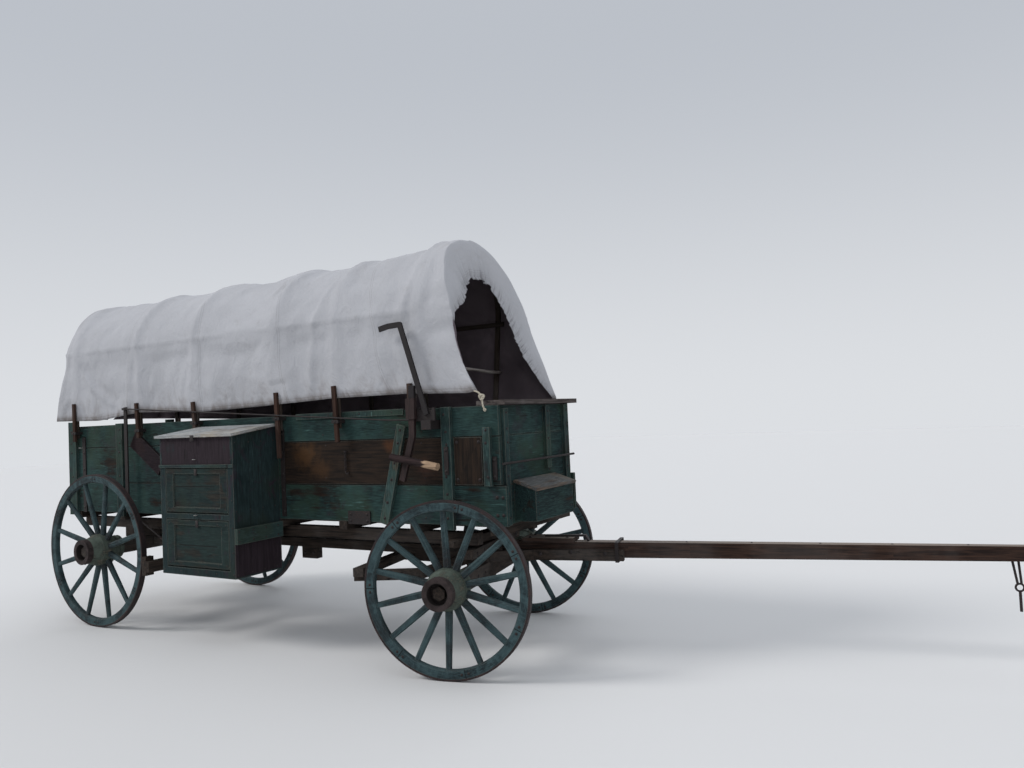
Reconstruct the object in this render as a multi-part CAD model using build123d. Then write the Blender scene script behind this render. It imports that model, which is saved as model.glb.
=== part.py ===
from build123d import *
import math
import os

# Covered wagon, in millimetres. While it is drawn, X points forward along the tongue from
# the kingpin, Y points left and Z up, with the ground at Z = 0. ORIGIN_SHIFT then moves
# every piece, so that the stored origin lies under the middle of the whole wagon.
ORIGIN_SHIFT = 572.0

# Running gear
WHEELBASE = 3430.0
TRACK = 1700.0
STEER_AT_REST = 12.1
KINGPIN_R = 16.0
SPINDLE_R = 38.0
RUNNING_FIT = 0.05
SEAT_GAP = 0.3
AXLE_DEPTH = 110.0
AXLE_HEIGHT = 110.0
FRONT_AXLE_DROP = 4.0
REAR_AXLE_LIFT = 3.0
HOUND_HEIGHT = 72.0
HOUND_THICK = 50.0
REACH_WIDTH = 88.0
SANDBOARD_HEIGHT = 60.0
WEAR_PLATE = 5.0
BOLSTER_HEIGHT = 60.0
BOLSTER_DEPTH = 110.0
BOLSTER_TAPER = 16.0

# Wheels: name, diameter, spoke count
FRONT_WHEEL_D = 1118.0
REAR_WHEEL_D = 1284.0
FRONT_SPOKES = 14
REAR_SPOKES = 12
TYRE_WIDTH = 46.0
TYRE_THICK = 12.0
FELLOE_WIDTH = 44.0
FELLOE_DEPTH = 56.0
HUB_BELLY_R = 132.0
HUB_NOSE_R = 103.0
HUB_HEEL_R = 98.0
HUB_NOSE_OUT = 140.0
HUB_HEEL_IN = 190.0
HUB_MOUTH_R = 68.0
HUB_MOUTH_DEPTH = 62.0
HUB_PLAY = 1.0
HUB_BAND = 5.0
FELLOE_CHAMFER = 7.0
DISH = 40.0
SPOKE_ROOT_W = 46.0
SPOKE_TIP_W = 36.0
SPOKE_ROOT_T = 40.0
SPOKE_TIP_T = 28.0
AXLE_NUT_R = 33.0
AXLE_NUT_LENGTH = 34.0

# Bed
BED_WIDTH = 1016.0
BED_LENGTH = 4720.0
BED_FRONT = 420.0
FLOOR_OVERHANG = 22.0
LOWER_BOARD_NOSE = 37.0
BED_BOTTOM = 912.0
LOWER_SEAM = 1180.0
UPPER_SEAM = 1502.0
BED_TOP = 1702.0
BOARD = 28.0
BOARD_GAP = 3.0
FLOOR_THICK = 30.0
FLOOR_PLANKS = 5
SILL_WIDTH = 70.0
SILL_HEIGHT = 85.0
SILL_INSET = 123.0
SILL_FRONT = 160.0
CROSS_BARS = 8
CROSS_BAR = 62.0
CROSS_BAR_WIDTH = 75.0
CLEAT_THICK = 27.0

# Cover and bows
COVER_SPRING = 2390.0
COVER_REAR_HEIGHT = 2885.0
COVER_MID_HEIGHT = 2900.0
COVER_MID_BACK = 1350.0
COVER_FRONT_HEIGHT = 2968.0
COVER_STANDOFF = 47.0
COVER_THICK = 8.0
COVER_HEM = 1775.0
COVER_REAR_OUT = 240.0
COVER_FRONT_BACK = 130.0
COVER_REAR_LEAN = 110.0
COVER_FRONT_LEAN = 365.0
BOW_WIDTH = 40.0
BOW_THICK = 16.0
BOW_FOOT_DROP = 112.0
BOW_GAP = 0.8
FIRST_BOW_IN = 114.0
SECOND_BOW_IN = 1060.0
STAPLE_DROP = 62.0
STAPLE_HIGH_DROP = 20.0

# Side cupboard
CUPBOARD_FROM_REAR_AXLE = 1015.0
CUPBOARD_LENGTH = 825.0
CUPBOARD_DEPTH = 442.0
CUPBOARD_BOTTOM = 530.0
CUPBOARD_OUTER_TOP = 1572.0
CUPBOARD_INNER_TOP = 1632.0
CUPBOARD_WALL = 22.0
DOOR_GAP = 6.0
LID_THICK = 20.0
LID_HINGE_IN = 12.0
LID_GAP = 1.0

# Jockey box on the front gate
JOCKEY_RIGHT = -335.0
JOCKEY_LEFT = 215.0
JOCKEY_BOTTOM = 925.0
JOCKEY_FRONT_TOP = 1132.0
JOCKEY_BACK_TOP = 1186.0
JOCKEY_DEPTH = 165.0
JOCKEY_WALL = 18.0

# Tongue
TONGUE_BACK = 190.0
TONGUE_LENGTH = 3290.0
TONGUE_ROOT_W = 100.0
TONGUE_ROOT_H = 110.0
TONGUE_TIP_W = 70.0
TONGUE_TIP_H = 88.0
TONGUE_AXIS_Z = 676.0

# Heights and places that follow from the sizes above
FRONT_R = FRONT_WHEEL_D / 2
REAR_R = REAR_WHEEL_D / 2
HALF_TRACK = TRACK / 2
HALF_BED = BED_WIDTH / 2
AXLE_TOP = FRONT_R - FRONT_AXLE_DROP + AXLE_HEIGHT / 2
HOUND_TOP = AXLE_TOP + HOUND_HEIGHT
SANDBOARD_TOP = HOUND_TOP + SANDBOARD_HEIGHT
BOLSTER_BOTTOM = SANDBOARD_TOP + WEAR_PLATE + SEAT_GAP
BOLSTER_TOP = BOLSTER_BOTTOM + BOLSTER_HEIGHT
SILL_TOP = BED_BOTTOM - CROSS_BAR
SILL_BOTTOM = SILL_TOP - SILL_HEIGHT
SILL_Y = HALF_BED - SILL_INSET
SIDE_FACE = HALF_BED + CLEAT_THICK
GATE_FACE = BED_FRONT - 8
BED_REAR = BED_FRONT - BED_LENGTH
BED_TAIL = BED_REAR + FLOOR_OVERHANG
TONGUE_TIP = TONGUE_BACK + TONGUE_LENGTH
COVER_HALF_WIDTH = HALF_BED + COVER_STANDOFF
COVER_REAR = BED_REAR - COVER_REAR_OUT
COVER_FRONT = BED_FRONT - COVER_FRONT_BACK
COVER_MID = BED_FRONT - COVER_MID_BACK
COVER_TOP = max(COVER_REAR_HEIGHT, COVER_MID_HEIGHT, COVER_FRONT_HEIGHT)
CUPBOARD_REAR = CUPBOARD_FROM_REAR_AXLE - WHEELBASE
CUPBOARD_FRONT = CUPBOARD_REAR + CUPBOARD_LENGTH
REAR_AXLE_TOP = REAR_R + AXLE_HEIGHT / 2 - REAR_AXLE_LIFT
SPINDLE_START = HALF_TRACK - HUB_HEEL_IN - HUB_PLAY
HUB_FLOOR = HUB_NOSE_OUT - HUB_MOUTH_DEPTH


# Shape helpers

def block(x, y, z):
    """A box from three (low, high) pairs."""
    size = [b - a for a, b in (x, y, z)]
    middle = [(a + b) / 2 for a, b in (x, y, z)]
    return Pos(*middle) * Box(*size)


def bar(start, end, width, height):
    """A straight bar of rectangular section, width level and height upright."""
    a, b = Vector(*start), Vector(*end)
    along = (b - a).normalized()
    side = Vector(0, 0, 1).cross(along).normalized()
    plane = Plane(origin=a, x_dir=side, z_dir=along)
    return extrude(plane * Rectangle(width, height), (b - a).length)


def rod(start, end, radius):
    a, b = Vector(*start), Vector(*end)
    plane = Plane(origin=a, z_dir=(b - a).normalized())
    return extrude(plane * Circle(radius), (b - a).length)


def bent_rod(points, radius, bend):
    """A round iron bent to a chain of straight runs with one bend radius."""
    path = FilletPolyline(*points, radius=bend)
    section = Plane(origin=path @ 0, z_dir=path % 0) * Circle(radius)
    return sweep(section, path)


def flat_iron(points, y, width):
    """A flat iron bent edge on through a chain of (x, z) points, between two y."""
    low, high = y
    middle = (low + high) / 2
    runs = [bar((x0, middle, z0), (x1, middle, z1), high - low, width)
            for (x0, z0), (x1, z1) in zip(points, points[1:])]
    iron = runs[0]
    for run, (x, z) in zip(runs[1:], points[1:-1]):
        iron = iron + run + rod((x, low, z), (x, high, z), width / 2)
    return iron


def mirrored(shape):
    """The same shape on the other side of the wagon."""
    return mirror(shape, about=Plane.XZ)


def turned(shape):
    """Turns a piece of the front gear to where the tongue points at rest."""
    return Rot(0, 0, STEER_AT_REST) * shape


def plank_edges(low, high, count, gap):
    """Edges of count equal planks between low and high."""
    pitch = (high - low + gap) / count
    return [(low + i * pitch, low + (i + 1) * pitch - gap) for i in range(count)]


def solids_of(shapes):
    found = []
    for shape in shapes:
        found.extend(shape.solids())
    return found


def prism_x(points, low, high):
    """A (y, z) outline pushed along X from low to high."""
    face = make_face(Plane.YZ * Polyline(*points, close=True))
    return Pos(low, 0, 0) * extrude(face, high - low, dir=(1, 0, 0))


def prism_y(points, low, high):
    """An (x, z) outline pushed along Y from low to high."""
    face = make_face(Plane.XZ * Polyline(*points, close=True))
    return Pos(0, low, 0) * extrude(face, high - low, dir=(0, 1, 0))


def save(name, *shapes):
    """Writes one node, which may hold several solids that don't touch."""
    moved = [Pos(ORIGIN_SHIFT, 0, 0) * solid for solid in solids_of(shapes)]
    result = moved[0] if len(moved) == 1 else Compound(moved)
    export_step(result, f"parts/{name}.step")


# Wheels

def wheel_place(x, side, radius):
    """Carries a wheel, drawn about Z with its outer face up, to its hub."""
    return Pos(x, side * HALF_TRACK, radius) * Rot(-90 * side, 0, 0)


def hub_shape():
    """A turned elm hub: heel band, belly with the spokes, and long nose."""
    low_band = -DISH - SPOKE_ROOT_T / 2 - 34
    high_band = -DISH + SPOKE_ROOT_T / 2 + 12
    outline = [
        (0, -HUB_HEEL_IN),
        (HUB_HEEL_R, -HUB_HEEL_IN),
        (HUB_HEEL_R, -HUB_HEEL_IN + 34),
        (HUB_HEEL_R - HUB_BAND, -HUB_HEEL_IN + 34),
        (HUB_BELLY_R - 2 * HUB_BAND, low_band),
        (HUB_BELLY_R, low_band),
        (HUB_BELLY_R, high_band + 22),
        (HUB_BELLY_R - HUB_BAND, high_band + 22),
        (HUB_NOSE_R - HUB_BAND + 8, HUB_NOSE_OUT - 64),
        (HUB_NOSE_R - HUB_BAND, HUB_NOSE_OUT - 48),
        (HUB_NOSE_R, HUB_NOSE_OUT - 48),
        (HUB_NOSE_R, HUB_NOSE_OUT),
        (0, HUB_NOSE_OUT),
    ]
    body = revolve(make_face(Plane.XZ * Polyline(*outline, close=True)), Axis.Z)
    bore = Cylinder(SPINDLE_R + RUNNING_FIT, 2 * (HUB_HEEL_IN + HUB_NOSE_OUT))
    mouth = Pos(0, 0, HUB_FLOOR) * Cylinder(
        HUB_MOUTH_R, HUB_MOUTH_DEPTH, align=(Align.CENTER, Align.CENTER, Align.MIN))
    return body - bore - mouth


def eight_sided(width, thick):
    """A spoke's section: a rectangle with its four corners worn off."""
    return chamfer(Rectangle(width, thick).vertices(), min(width, thick) * 0.24)


def wheel_wood(radius, count):
    """The spokes, dished outward, and the ring of felloes they carry."""
    outer = radius - TYRE_THICK - SEAT_GAP
    inner = outer - FELLOE_DEPTH
    half = FELLOE_WIDTH / 2
    section = [
        (outer, -half), (outer, half), (inner + FELLOE_CHAMFER, half), (inner, half - FELLOE_CHAMFER),
        (inner, FELLOE_CHAMFER - half), (inner + FELLOE_CHAMFER, -half),
    ]
    ring = revolve(make_face(Plane.XZ * Polyline(*section, close=True)), Axis.Z)
    start = HUB_BELLY_R - 8
    end = inner + 6
    wood = ring
    for i in range(count):
        turn = Rot(0, 0, (i + 0.5) * 360 / count)
        root = Plane(origin=(start, 0, -DISH), x_dir=(0, 1, 0), z_dir=(1, 0, 0))
        tip = Plane(origin=(end, 0, 0), x_dir=(0, 1, 0), z_dir=(1, 0, 0))
        spoke = loft([root * eight_sided(SPOKE_ROOT_W, SPOKE_ROOT_T),
                      tip * eight_sided(SPOKE_TIP_W, SPOKE_TIP_T)])
        wood += turn * spoke
    return wood - Cylinder(HUB_BELLY_R + SEAT_GAP, 6 * FELLOE_WIDTH)


def tyre_shape(radius):
    return Cylinder(radius, TYRE_WIDTH) - Cylinder(radius - TYRE_THICK, 2 * TYRE_WIDTH)


def save_wheels():
    # name, x, side, radius, spokes, on the turning gear
    table = [
        ("front_right", 0, -1, FRONT_R, FRONT_SPOKES, True),
        ("front_left", 0, 1, FRONT_R, FRONT_SPOKES, True),
        ("rear_right", -WHEELBASE, -1, REAR_R, REAR_SPOKES, False),
        ("rear_left", -WHEELBASE, 1, REAR_R, REAR_SPOKES, False),
    ]
    for name, x, side, radius, spokes, steers in table:
        place = wheel_place(x, side, radius)
        pieces = {
            "hub": place * hub_shape(),
            "spokes": place * wheel_wood(radius, spokes),
            "tyre": place * tyre_shape(radius),
        }
        for kind, piece in pieces.items():
            save(f"{name}_{kind}", turned(piece) if steers else piece)


# Axles, bolsters, hounds and reach

def axle_beam(x, centre_z, beam_z):
    """A wooden axle with its round arms and the nuts that keep the wheels on."""
    reach_out = HALF_TRACK + HUB_FLOOR + HUB_PLAY
    beam = block((x - AXLE_DEPTH / 2, x + AXLE_DEPTH / 2), (-SPINDLE_START, SPINDLE_START),
                 (beam_z - AXLE_HEIGHT / 2, beam_z + AXLE_HEIGHT / 2))
    arms = rod((x, -reach_out, centre_z), (x, reach_out, centre_z), SPINDLE_R)
    nuts = []
    for side in (-1, 1):
        hexagon = Plane(origin=(x, side * reach_out, centre_z), z_dir=(0, side, 0))
        nuts.append(extrude(hexagon * RegularPolygon(AXLE_NUT_R + 12, 6), AXLE_NUT_LENGTH))
    return beam + arms + nuts[0] + nuts[1]


def front_axle():
    beam = axle_beam(0, FRONT_R, FRONT_R - FRONT_AXLE_DROP)
    return beam - rod((0, 0, 0), (0, 0, BED_BOTTOM), KINGPIN_R + RUNNING_FIT)


def rear_axle():
    beam = axle_beam(-WHEELBASE, REAR_R, REAR_R - REAR_AXLE_LIFT)
    notch = block((-WHEELBASE - AXLE_DEPTH, -WHEELBASE + AXLE_DEPTH),
                  (-REACH_WIDTH / 2, REACH_WIDTH / 2), (AXLE_TOP, HOUND_TOP))
    return beam - notch


def sand_board():
    half = AXLE_DEPTH / 2
    board = block((-half, half), (-HALF_BED, HALF_BED), (HOUND_TOP, SANDBOARD_TOP))
    plate = Pos(0, 0, SANDBOARD_TOP) * Cylinder(
        half * 0.95, WEAR_PLATE, align=(Align.CENTER, Align.CENTER, Align.MIN))
    return board + plate - rod((0, 0, 0), (0, 0, BED_BOTTOM), KINGPIN_R + RUNNING_FIT)


def bolster(x, low):
    """A cross beam under the bed, thinner toward its ends."""
    half = BOLSTER_DEPTH / 2
    end = HALF_BED + 35
    outline = [(-end, BOLSTER_TOP), (-end, low + BOLSTER_TAPER), (-end + 190, low),
               (end - 190, low), (end, low + BOLSTER_TAPER), (end, BOLSTER_TOP)]
    return prism_x(outline, x - half, x + half)


def kingpin():
    head_r = KINGPIN_R + 12
    shank = rod((0, 0, AXLE_TOP - AXLE_HEIGHT - 34), (0, 0, BOLSTER_TOP), KINGPIN_R)
    head = rod((0, 0, BOLSTER_TOP), (0, 0, BOLSTER_TOP + 10), head_r)
    foot_z = AXLE_TOP - AXLE_HEIGHT - 1
    foot = rod((0, 0, foot_z - 22), (0, 0, foot_z), head_r)
    return shank + head + foot


def reach_pole():
    half = REACH_WIDTH / 2
    pole = block((-WHEELBASE - 260, 70), (-half, half), (AXLE_TOP, HOUND_TOP))
    pole -= rod((0, 0, 0), (0, 0, BED_BOTTOM), KINGPIN_R + SEAT_GAP)
    clear = SEAT_GAP
    trimmed = block((-AXLE_DEPTH, 200), (-half, half), (AXLE_TOP, AXLE_TOP + clear))
    topside = block((-AXLE_DEPTH, 200), (-half, half), (HOUND_TOP - clear, HOUND_TOP))
    return pole - trimmed - topside


REACH_BLOCK_AHEAD = 1575.0
REACH_BLOCK = (165.0, 64.0, 96.0)


def reach_block():
    """A block of wood fixed under the middle of the reach."""
    x = REACH_BLOCK_AHEAD - WHEELBASE
    length, width, height = REACH_BLOCK
    top = AXLE_TOP - SEAT_GAP
    return block((x, x + length), (-width / 2, width / 2), (top - height, top))


HOUND_GRIP_Y = TONGUE_ROOT_W / 2 + HOUND_THICK / 2
HOUND_FRONT = 985.0
HOUND_BEND = 350.0
HOUND_AXLE_Y = 185.0
HOUND_KNEE_X = -430.0
HOUND_KNEE_Y = 300.0
HOUND_REAR_X = -890.0
HOUND_REAR_Y = 410.0
HOUND_REAR_DROP = 105.0
SWAY_UNDER_REACH = 6.0
SWAY_HEIGHT = 60.0
REAR_HOUND_LENGTH = 1080.0


def front_hounds():
    """Two bent bars that grip the tongue, cross the axle and drop below the reach behind it."""
    level = AXLE_TOP + HOUND_HEIGHT / 2
    half = AXLE_DEPTH / 2
    corners = [
        (HOUND_FRONT, HOUND_GRIP_Y, level),
        (HOUND_BEND, HOUND_GRIP_Y, level),
        (half, HOUND_AXLE_Y, level),
        (-half - 20, HOUND_AXLE_Y + 32, level),
        (HOUND_KNEE_X, HOUND_KNEE_Y, level - HOUND_REAR_DROP),
        (HOUND_REAR_X, HOUND_REAR_Y, level - HOUND_REAR_DROP),
    ]
    hound = bar(corners[0], corners[1], HOUND_THICK, HOUND_HEIGHT)
    for a, b in zip(corners[1:-1], corners[2:]):
        hound += bar(a, b, HOUND_THICK, HOUND_HEIGHT)
    hound -= sway_bar()
    return [hound, mirrored(hound)]


def sway_bar():
    """The cross bar let into the rear ends of the hounds, under the reach."""
    top = AXLE_TOP - SWAY_UNDER_REACH
    x = HOUND_REAR_X + 60
    half = HOUND_REAR_Y + 60
    return block((x - 40, x + 40), (-half, half), (top - SWAY_HEIGHT, top))


def rear_hounds():
    """Braces from the rear axle that close on the reach."""
    level = AXLE_TOP + HOUND_HEIGHT / 2
    start = (-WHEELBASE + AXLE_DEPTH / 2 + 12, 330, level)
    end = (-WHEELBASE + REAR_HOUND_LENGTH, REACH_WIDTH / 2 + HOUND_THICK / 2 - 0.4, level)
    brace = bar(start, end, HOUND_THICK, HOUND_HEIGHT)
    return [brace, mirrored(brace)]


# Tongue and draught gear

def tongue():
    back = Plane(origin=(TONGUE_BACK, 0, TONGUE_AXIS_Z), x_dir=(0, 1, 0), z_dir=(1, 0, 0))
    tip = Plane(origin=(TONGUE_TIP, 0, TONGUE_AXIS_Z), x_dir=(0, 1, 0), z_dir=(1, 0, 0))
    return loft([back * Rectangle(TONGUE_ROOT_W, TONGUE_ROOT_H),
                 tip * Rectangle(TONGUE_TIP_W, TONGUE_TIP_H)])


def tongue_chain():
    """Two hanging straps, a ring and a long link near the tip."""
    x = TONGUE_TIP - 158
    top = TONGUE_AXIS_Z - TONGUE_TIP_H / 2 - 2
    left = rod((x - 15, 0, top), (x + 6, 0, top - 140), 7)
    right = rod((x + 17, 0, top), (x + 26, 0, top - 140), 7)
    ring = Pos(x + 16, 0, top - 158) * Rot(90, 0, 0) * Torus(22, 6)
    link = rod((x + 16, 0, top - 184), (x + 16, 0, top - 300), 8)
    return left + right + ring + link


SADDLE = (270.0, 640.0)
SADDLE_THICK = 30.0
CLIP = (HOUND_FRONT - 54, HOUND_FRONT - 30)
STRAP_BACK = 420.0


def tongue_saddle():
    """A flat block over the hounds and the tongue's heel."""
    low = TONGUE_AXIS_Z + TONGUE_ROOT_H / 2 + SEAT_GAP
    half = TONGUE_ROOT_W / 2 + HOUND_THICK - 8
    return block(SADDLE, (-half, half), (low, low + SADDLE_THICK))


def tongue_irons():
    """The clip round the hounds' ends, and the hooked strap over the saddle."""
    half = TONGUE_ROOT_W / 2 + HOUND_THICK + 1
    low = AXLE_TOP - 1
    high = TONGUE_AXIS_Z + TONGUE_ROOT_H / 2 + 1
    clip = block(CLIP, (-half - 7, half + 7), (low - 7, high + 7)) - block(CLIP, (-half, half), (low, high))
    top = high + SADDLE_THICK
    x = STRAP_BACK
    strap = prism_y([(x, top), (x + 280, top), (x + 304, high), (x + 316, high), (x + 292, top + 12),
                     (x + 140, top + 12), (x, top + 9)], -22, 22)
    return [clip, strap]


# Bed

def sills():
    """Two long sills, let down over the bolsters, under the cross bars."""
    found = []
    for side in (-1, 1):
        y = side * SILL_Y
        sill = block((BED_TAIL, SILL_FRONT), (y - SILL_WIDTH / 2, y + SILL_WIDTH / 2),
                     (SILL_BOTTOM, SILL_TOP))
        for x in (0, -WHEELBASE):
            half = BOLSTER_DEPTH / 2
            sill -= block((x - half, x + half), (y - SILL_WIDTH, y + SILL_WIDTH),
                          (SILL_BOTTOM - 1, BOLSTER_TOP))
        found.append(sill)
    return found


def cross_bars():
    half = CROSS_BAR_WIDTH / 2
    first, last = BED_TAIL + half + 6, BED_FRONT - half - 22
    places = [first + (last - first) * i / (CROSS_BARS - 1) for i in range(CROSS_BARS)]
    return [block((x - half, x + half), (-HALF_BED, HALF_BED), (SILL_TOP, BED_BOTTOM))
            for x in places]


def floor_boards():
    half = HALF_BED - BOARD - 1
    planks = plank_edges(-half, half, FLOOR_PLANKS, BOARD_GAP)
    return [block((BED_TAIL, GATE_FACE - BOARD), edges, (BED_BOTTOM, BED_BOTTOM + FLOOR_THICK))
            for edges in planks]


def side_boards(side):
    # low edge, high edge, front end
    table = [
        (BED_BOTTOM, LOWER_SEAM - BOARD_GAP, BED_FRONT + LOWER_BOARD_NOSE),
        (LOWER_SEAM, UPPER_SEAM - BOARD_GAP, BED_FRONT),
        (UPPER_SEAM, BED_TOP, BED_FRONT),
    ]
    y = sorted((side * HALF_BED, side * (HALF_BED - BOARD)))
    return [block((BED_REAR, front), y, (low, high)) for low, high, front in table]


def side_cleats(side):
    """Upright cleats, a patch board and a thin top rail on the outside of the boards."""
    # distance behind the bed's front of the front and rear edges, foot, head, thickness
    table = [
        (BED_LENGTH - 74, BED_LENGTH + 40, BED_BOTTOM - 32, BED_TOP + 43, CLEAT_THICK),
        (3940, 4030, BED_BOTTOM - 32, BED_TOP + 10, CLEAT_THICK),
        (366, 442, BED_BOTTOM - 32, BED_TOP + 4, CLEAT_THICK),
        (58, 112, LOWER_SEAM - 5, UPPER_SEAM + 58, CLEAT_THICK),
        (131, 354, LOWER_SEAM, UPPER_SEAM - BOARD_GAP, 9),
        (770, 1800, BED_TOP - 36, BED_TOP + 8, 10),
    ]
    found = []
    for front, rear, foot, head, thick in table:
        y = sorted((side * (HALF_BED + SEAT_GAP), side * (HALF_BED + thick)))
        found.append(block((BED_FRONT - rear, BED_FRONT - front), y, (foot, head)))
    return found


def side_strut(side):
    y = side * (HALF_BED + CLEAT_THICK / 2 + SEAT_GAP)
    foot, head = (BED_FRONT - 966, y, BED_BOTTOM - 7), (BED_FRONT - 780, y, UPPER_SEAM + 94)
    return bar(foot, head, CLEAT_THICK, 74)


def front_gate():
    half = HALF_BED - BOARD - 1
    x = (GATE_FACE - BOARD, GATE_FACE)
    seams = [BED_BOTTOM, LOWER_SEAM, UPPER_SEAM, BED_TOP]
    return [block(x, (-half, half), (low, high - BOARD_GAP)) for low, high in zip(seams, seams[1:])]


def gate_cleats():
    x = (GATE_FACE, GATE_FACE + CLEAT_THICK)
    # centre, half width, foot, head
    table = [
        (-HALF_BED + 68, 26, BED_BOTTOM, BED_TOP - 22),
        (142, 28, JOCKEY_BACK_TOP + 60, BED_TOP - 12),
        (HALF_BED - 72, 30, BED_BOTTOM, BED_TOP - 7),
    ]
    return [block(x, (y - half, y + half), (foot, head)) for y, half, foot, head in table]


GATE_ROD_R = 8.0
GATE_ROD_Z = 1319.0


def gate_rod():
    x = GATE_FACE + CLEAT_THICK + GATE_ROD_R + SEAT_GAP
    return rod((x, -HALF_BED - 12, GATE_ROD_Z), (x, HALF_BED + 12, GATE_ROD_Z), GATE_ROD_R)


def top_board():
    return block((BED_FRONT - 170, BED_FRONT + 50), (-HALF_BED + 8, HALF_BED + 58),
                 (BED_TOP + SEAT_GAP, BED_TOP + 33))


TAILGATE_FACE = BED_REAR + 10
TAILGATE_FOOT = BED_BOTTOM + FLOOR_THICK + 6
HINGE_X = BED_REAR - 6
HINGE_Z = BED_BOTTOM + FLOOR_THICK + 4
HINGE_R = 8.0


def tailgate_hinge():
    """The rod the tailgate swings on, held by two angle irons behind the last cross bar."""
    end = SILL_Y + 31
    side = (SILL_Y + 10, SILL_Y + 30)
    low = BED_BOTTOM - 32
    pin = rod((HINGE_X, -end, HINGE_Z), (HINGE_X, end, HINGE_Z), HINGE_R)
    foot = block((HINGE_X - 8, BED_TAIL + 6), side, (low, low + 16))
    upright = block((HINGE_X - 8, HINGE_X + 8), side, (low, HINGE_Z + 6))
    iron = foot + upright
    return pin + iron + mirrored(iron)


def tailgate():
    """The drop gate: three boards joined by two battens with hinge eyes."""
    half = HALF_BED - BOARD - 6
    x = (TAILGATE_FACE, TAILGATE_FACE + BOARD)
    seams = [TAILGATE_FOOT, LOWER_SEAM, UPPER_SEAM, BED_TOP - 4]
    eye_r = 2 * HINGE_R
    low, high = 35 - SILL_Y, 95 - SILL_Y
    gate = block((x[0] - 20, x[0]), (low, high), (HINGE_Z + 6, BED_TOP - 10))
    gate += rod((HINGE_X, low, HINGE_Z), (HINGE_X, high, HINGE_Z), eye_r)
    gate -= rod((HINGE_X, -SILL_Y, HINGE_Z), (HINGE_X, SILL_Y, HINGE_Z), HINGE_R + RUNNING_FIT)
    gate += mirrored(gate)
    for low, high in zip(seams, seams[1:]):
        gate += block(x, (-half, half), (low, high - BOARD_GAP))
    return gate


# Bows, cover and stakes

def cover_height(x):
    """Top of the canvas at x, which climbs toward the front."""
    table = [(COVER_REAR, COVER_REAR_HEIGHT), (COVER_MID, COVER_MID_HEIGHT),
             (COVER_FRONT, COVER_FRONT_HEIGHT)]
    for (x0, z0), (x1, z1) in zip(table, table[1:]):
        if x <= x1:
            return z0 + (z1 - z0) * (x - x0) / (x1 - x0)
    return COVER_FRONT_HEIGHT


STAPLE_Z = BED_TOP - STAPLE_DROP
STAPLE_HIGH_Z = BED_TOP - STAPLE_HIGH_DROP
# x at the spring line, lean forward in degrees, height of the staple that holds its leg
BOWS = [
    (BED_REAR + FIRST_BOW_IN, 0, STAPLE_Z),
    (BED_REAR + SECOND_BOW_IN, 0, STAPLE_Z),
    (CUPBOARD_REAR - 75, 0, STAPLE_HIGH_Z),
    (CUPBOARD_FRONT + 60, 0, STAPLE_HIGH_Z),
    (COVER_MID, 0, STAPLE_Z),
    (BED_FRONT - 600, 5, STAPLE_Z),
]


def arch_face(x, half_width, top, foot):
    """The outline of a bow at x: straight legs and a top that is at most half round."""
    spring = max(COVER_SPRING, top - half_width)
    line = ThreePointArc((-half_width, spring), (0, top), (half_width, spring))
    legs = Polyline((half_width, spring), (half_width, foot), (-half_width, foot), (-half_width, spring))
    return Pos(x, 0, 0) * make_face(Plane.YZ * (line + legs))


def arch(half_width, top, foot, low, high):
    return extrude(arch_face(low, half_width, top, foot), high - low, dir=(1, 0, 0))


def arch_loft(inset, foot):
    """The canvas as a solid block, or its hollow when inset by the cloth."""
    past = inset * 4
    table = [(COVER_REAR - past, COVER_REAR_HEIGHT), (COVER_MID, COVER_MID_HEIGHT),
             (COVER_FRONT + past, COVER_FRONT_HEIGHT)]
    faces = [arch_face(x, COVER_HALF_WIDTH - inset, top - inset, foot) for x, top in table]
    return loft(faces, ruled=True)


def bow(x, lean):
    half = COVER_HALF_WIDTH - COVER_THICK - BOW_GAP
    edges = (-BOW_WIDTH / 2, BOW_WIDTH / 2)
    top = cover_height(x) - COVER_THICK - BOW_GAP
    foot = BED_TOP - BOW_FOOT_DROP
    hoop = arch(half, top, foot, *edges)
    hoop -= arch(half - BOW_THICK, top - BOW_THICK, foot - 1, edges[0] - 1, edges[1] + 1)
    return Pos(x, 0, COVER_SPRING) * Rot(0, lean, 0) * Pos(0, 0, -COVER_SPRING) * hoop


def bow_slats():
    """Long laths inside the bows, where their legs turn into the arch."""
    half = COVER_HALF_WIDTH - COVER_THICK - BOW_GAP - BOW_THICK
    ends = (BOWS[0][0] - 60, BOWS[-1][0] + 60)
    slat = block(ends, (half - 13, half - SEAT_GAP), (COVER_SPRING - 50, COVER_SPRING - 15))
    return [slat, mirrored(slat)]


def front_opening():
    """The hole at the front, (y, z): wide open on the right, drawn in at the top and left."""
    side, hem, spring = COVER_HALF_WIDTH, COVER_HEM, COVER_SPRING
    return [
        (8 - side, hem - 75), (8 - side, spring - 190), (55 - side, spring - 90),
        (195 - side, spring + 40), (-190, spring + 190), (0, spring + 232), (106, spring + 186),
        (side - 355, spring + 10), (side - 340, spring - 154), (side - 299, spring - 337),
        (side - 193, spring - 535), (side - 85, hem - 75),
    ]


def rear_opening():
    """The round hole and the slit below it where the rear canvas is drawn together."""
    hem, spring = COVER_HEM, COVER_SPRING
    half = [(45, hem - 75), (50, hem + 130), (75, hem + 205), (150, hem + 290), (205, spring - 165),
            (210, spring - 80), (170, spring + 10), (85, spring + 70)]
    return half + [(-y, z) for y, z in reversed(half)]


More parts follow.
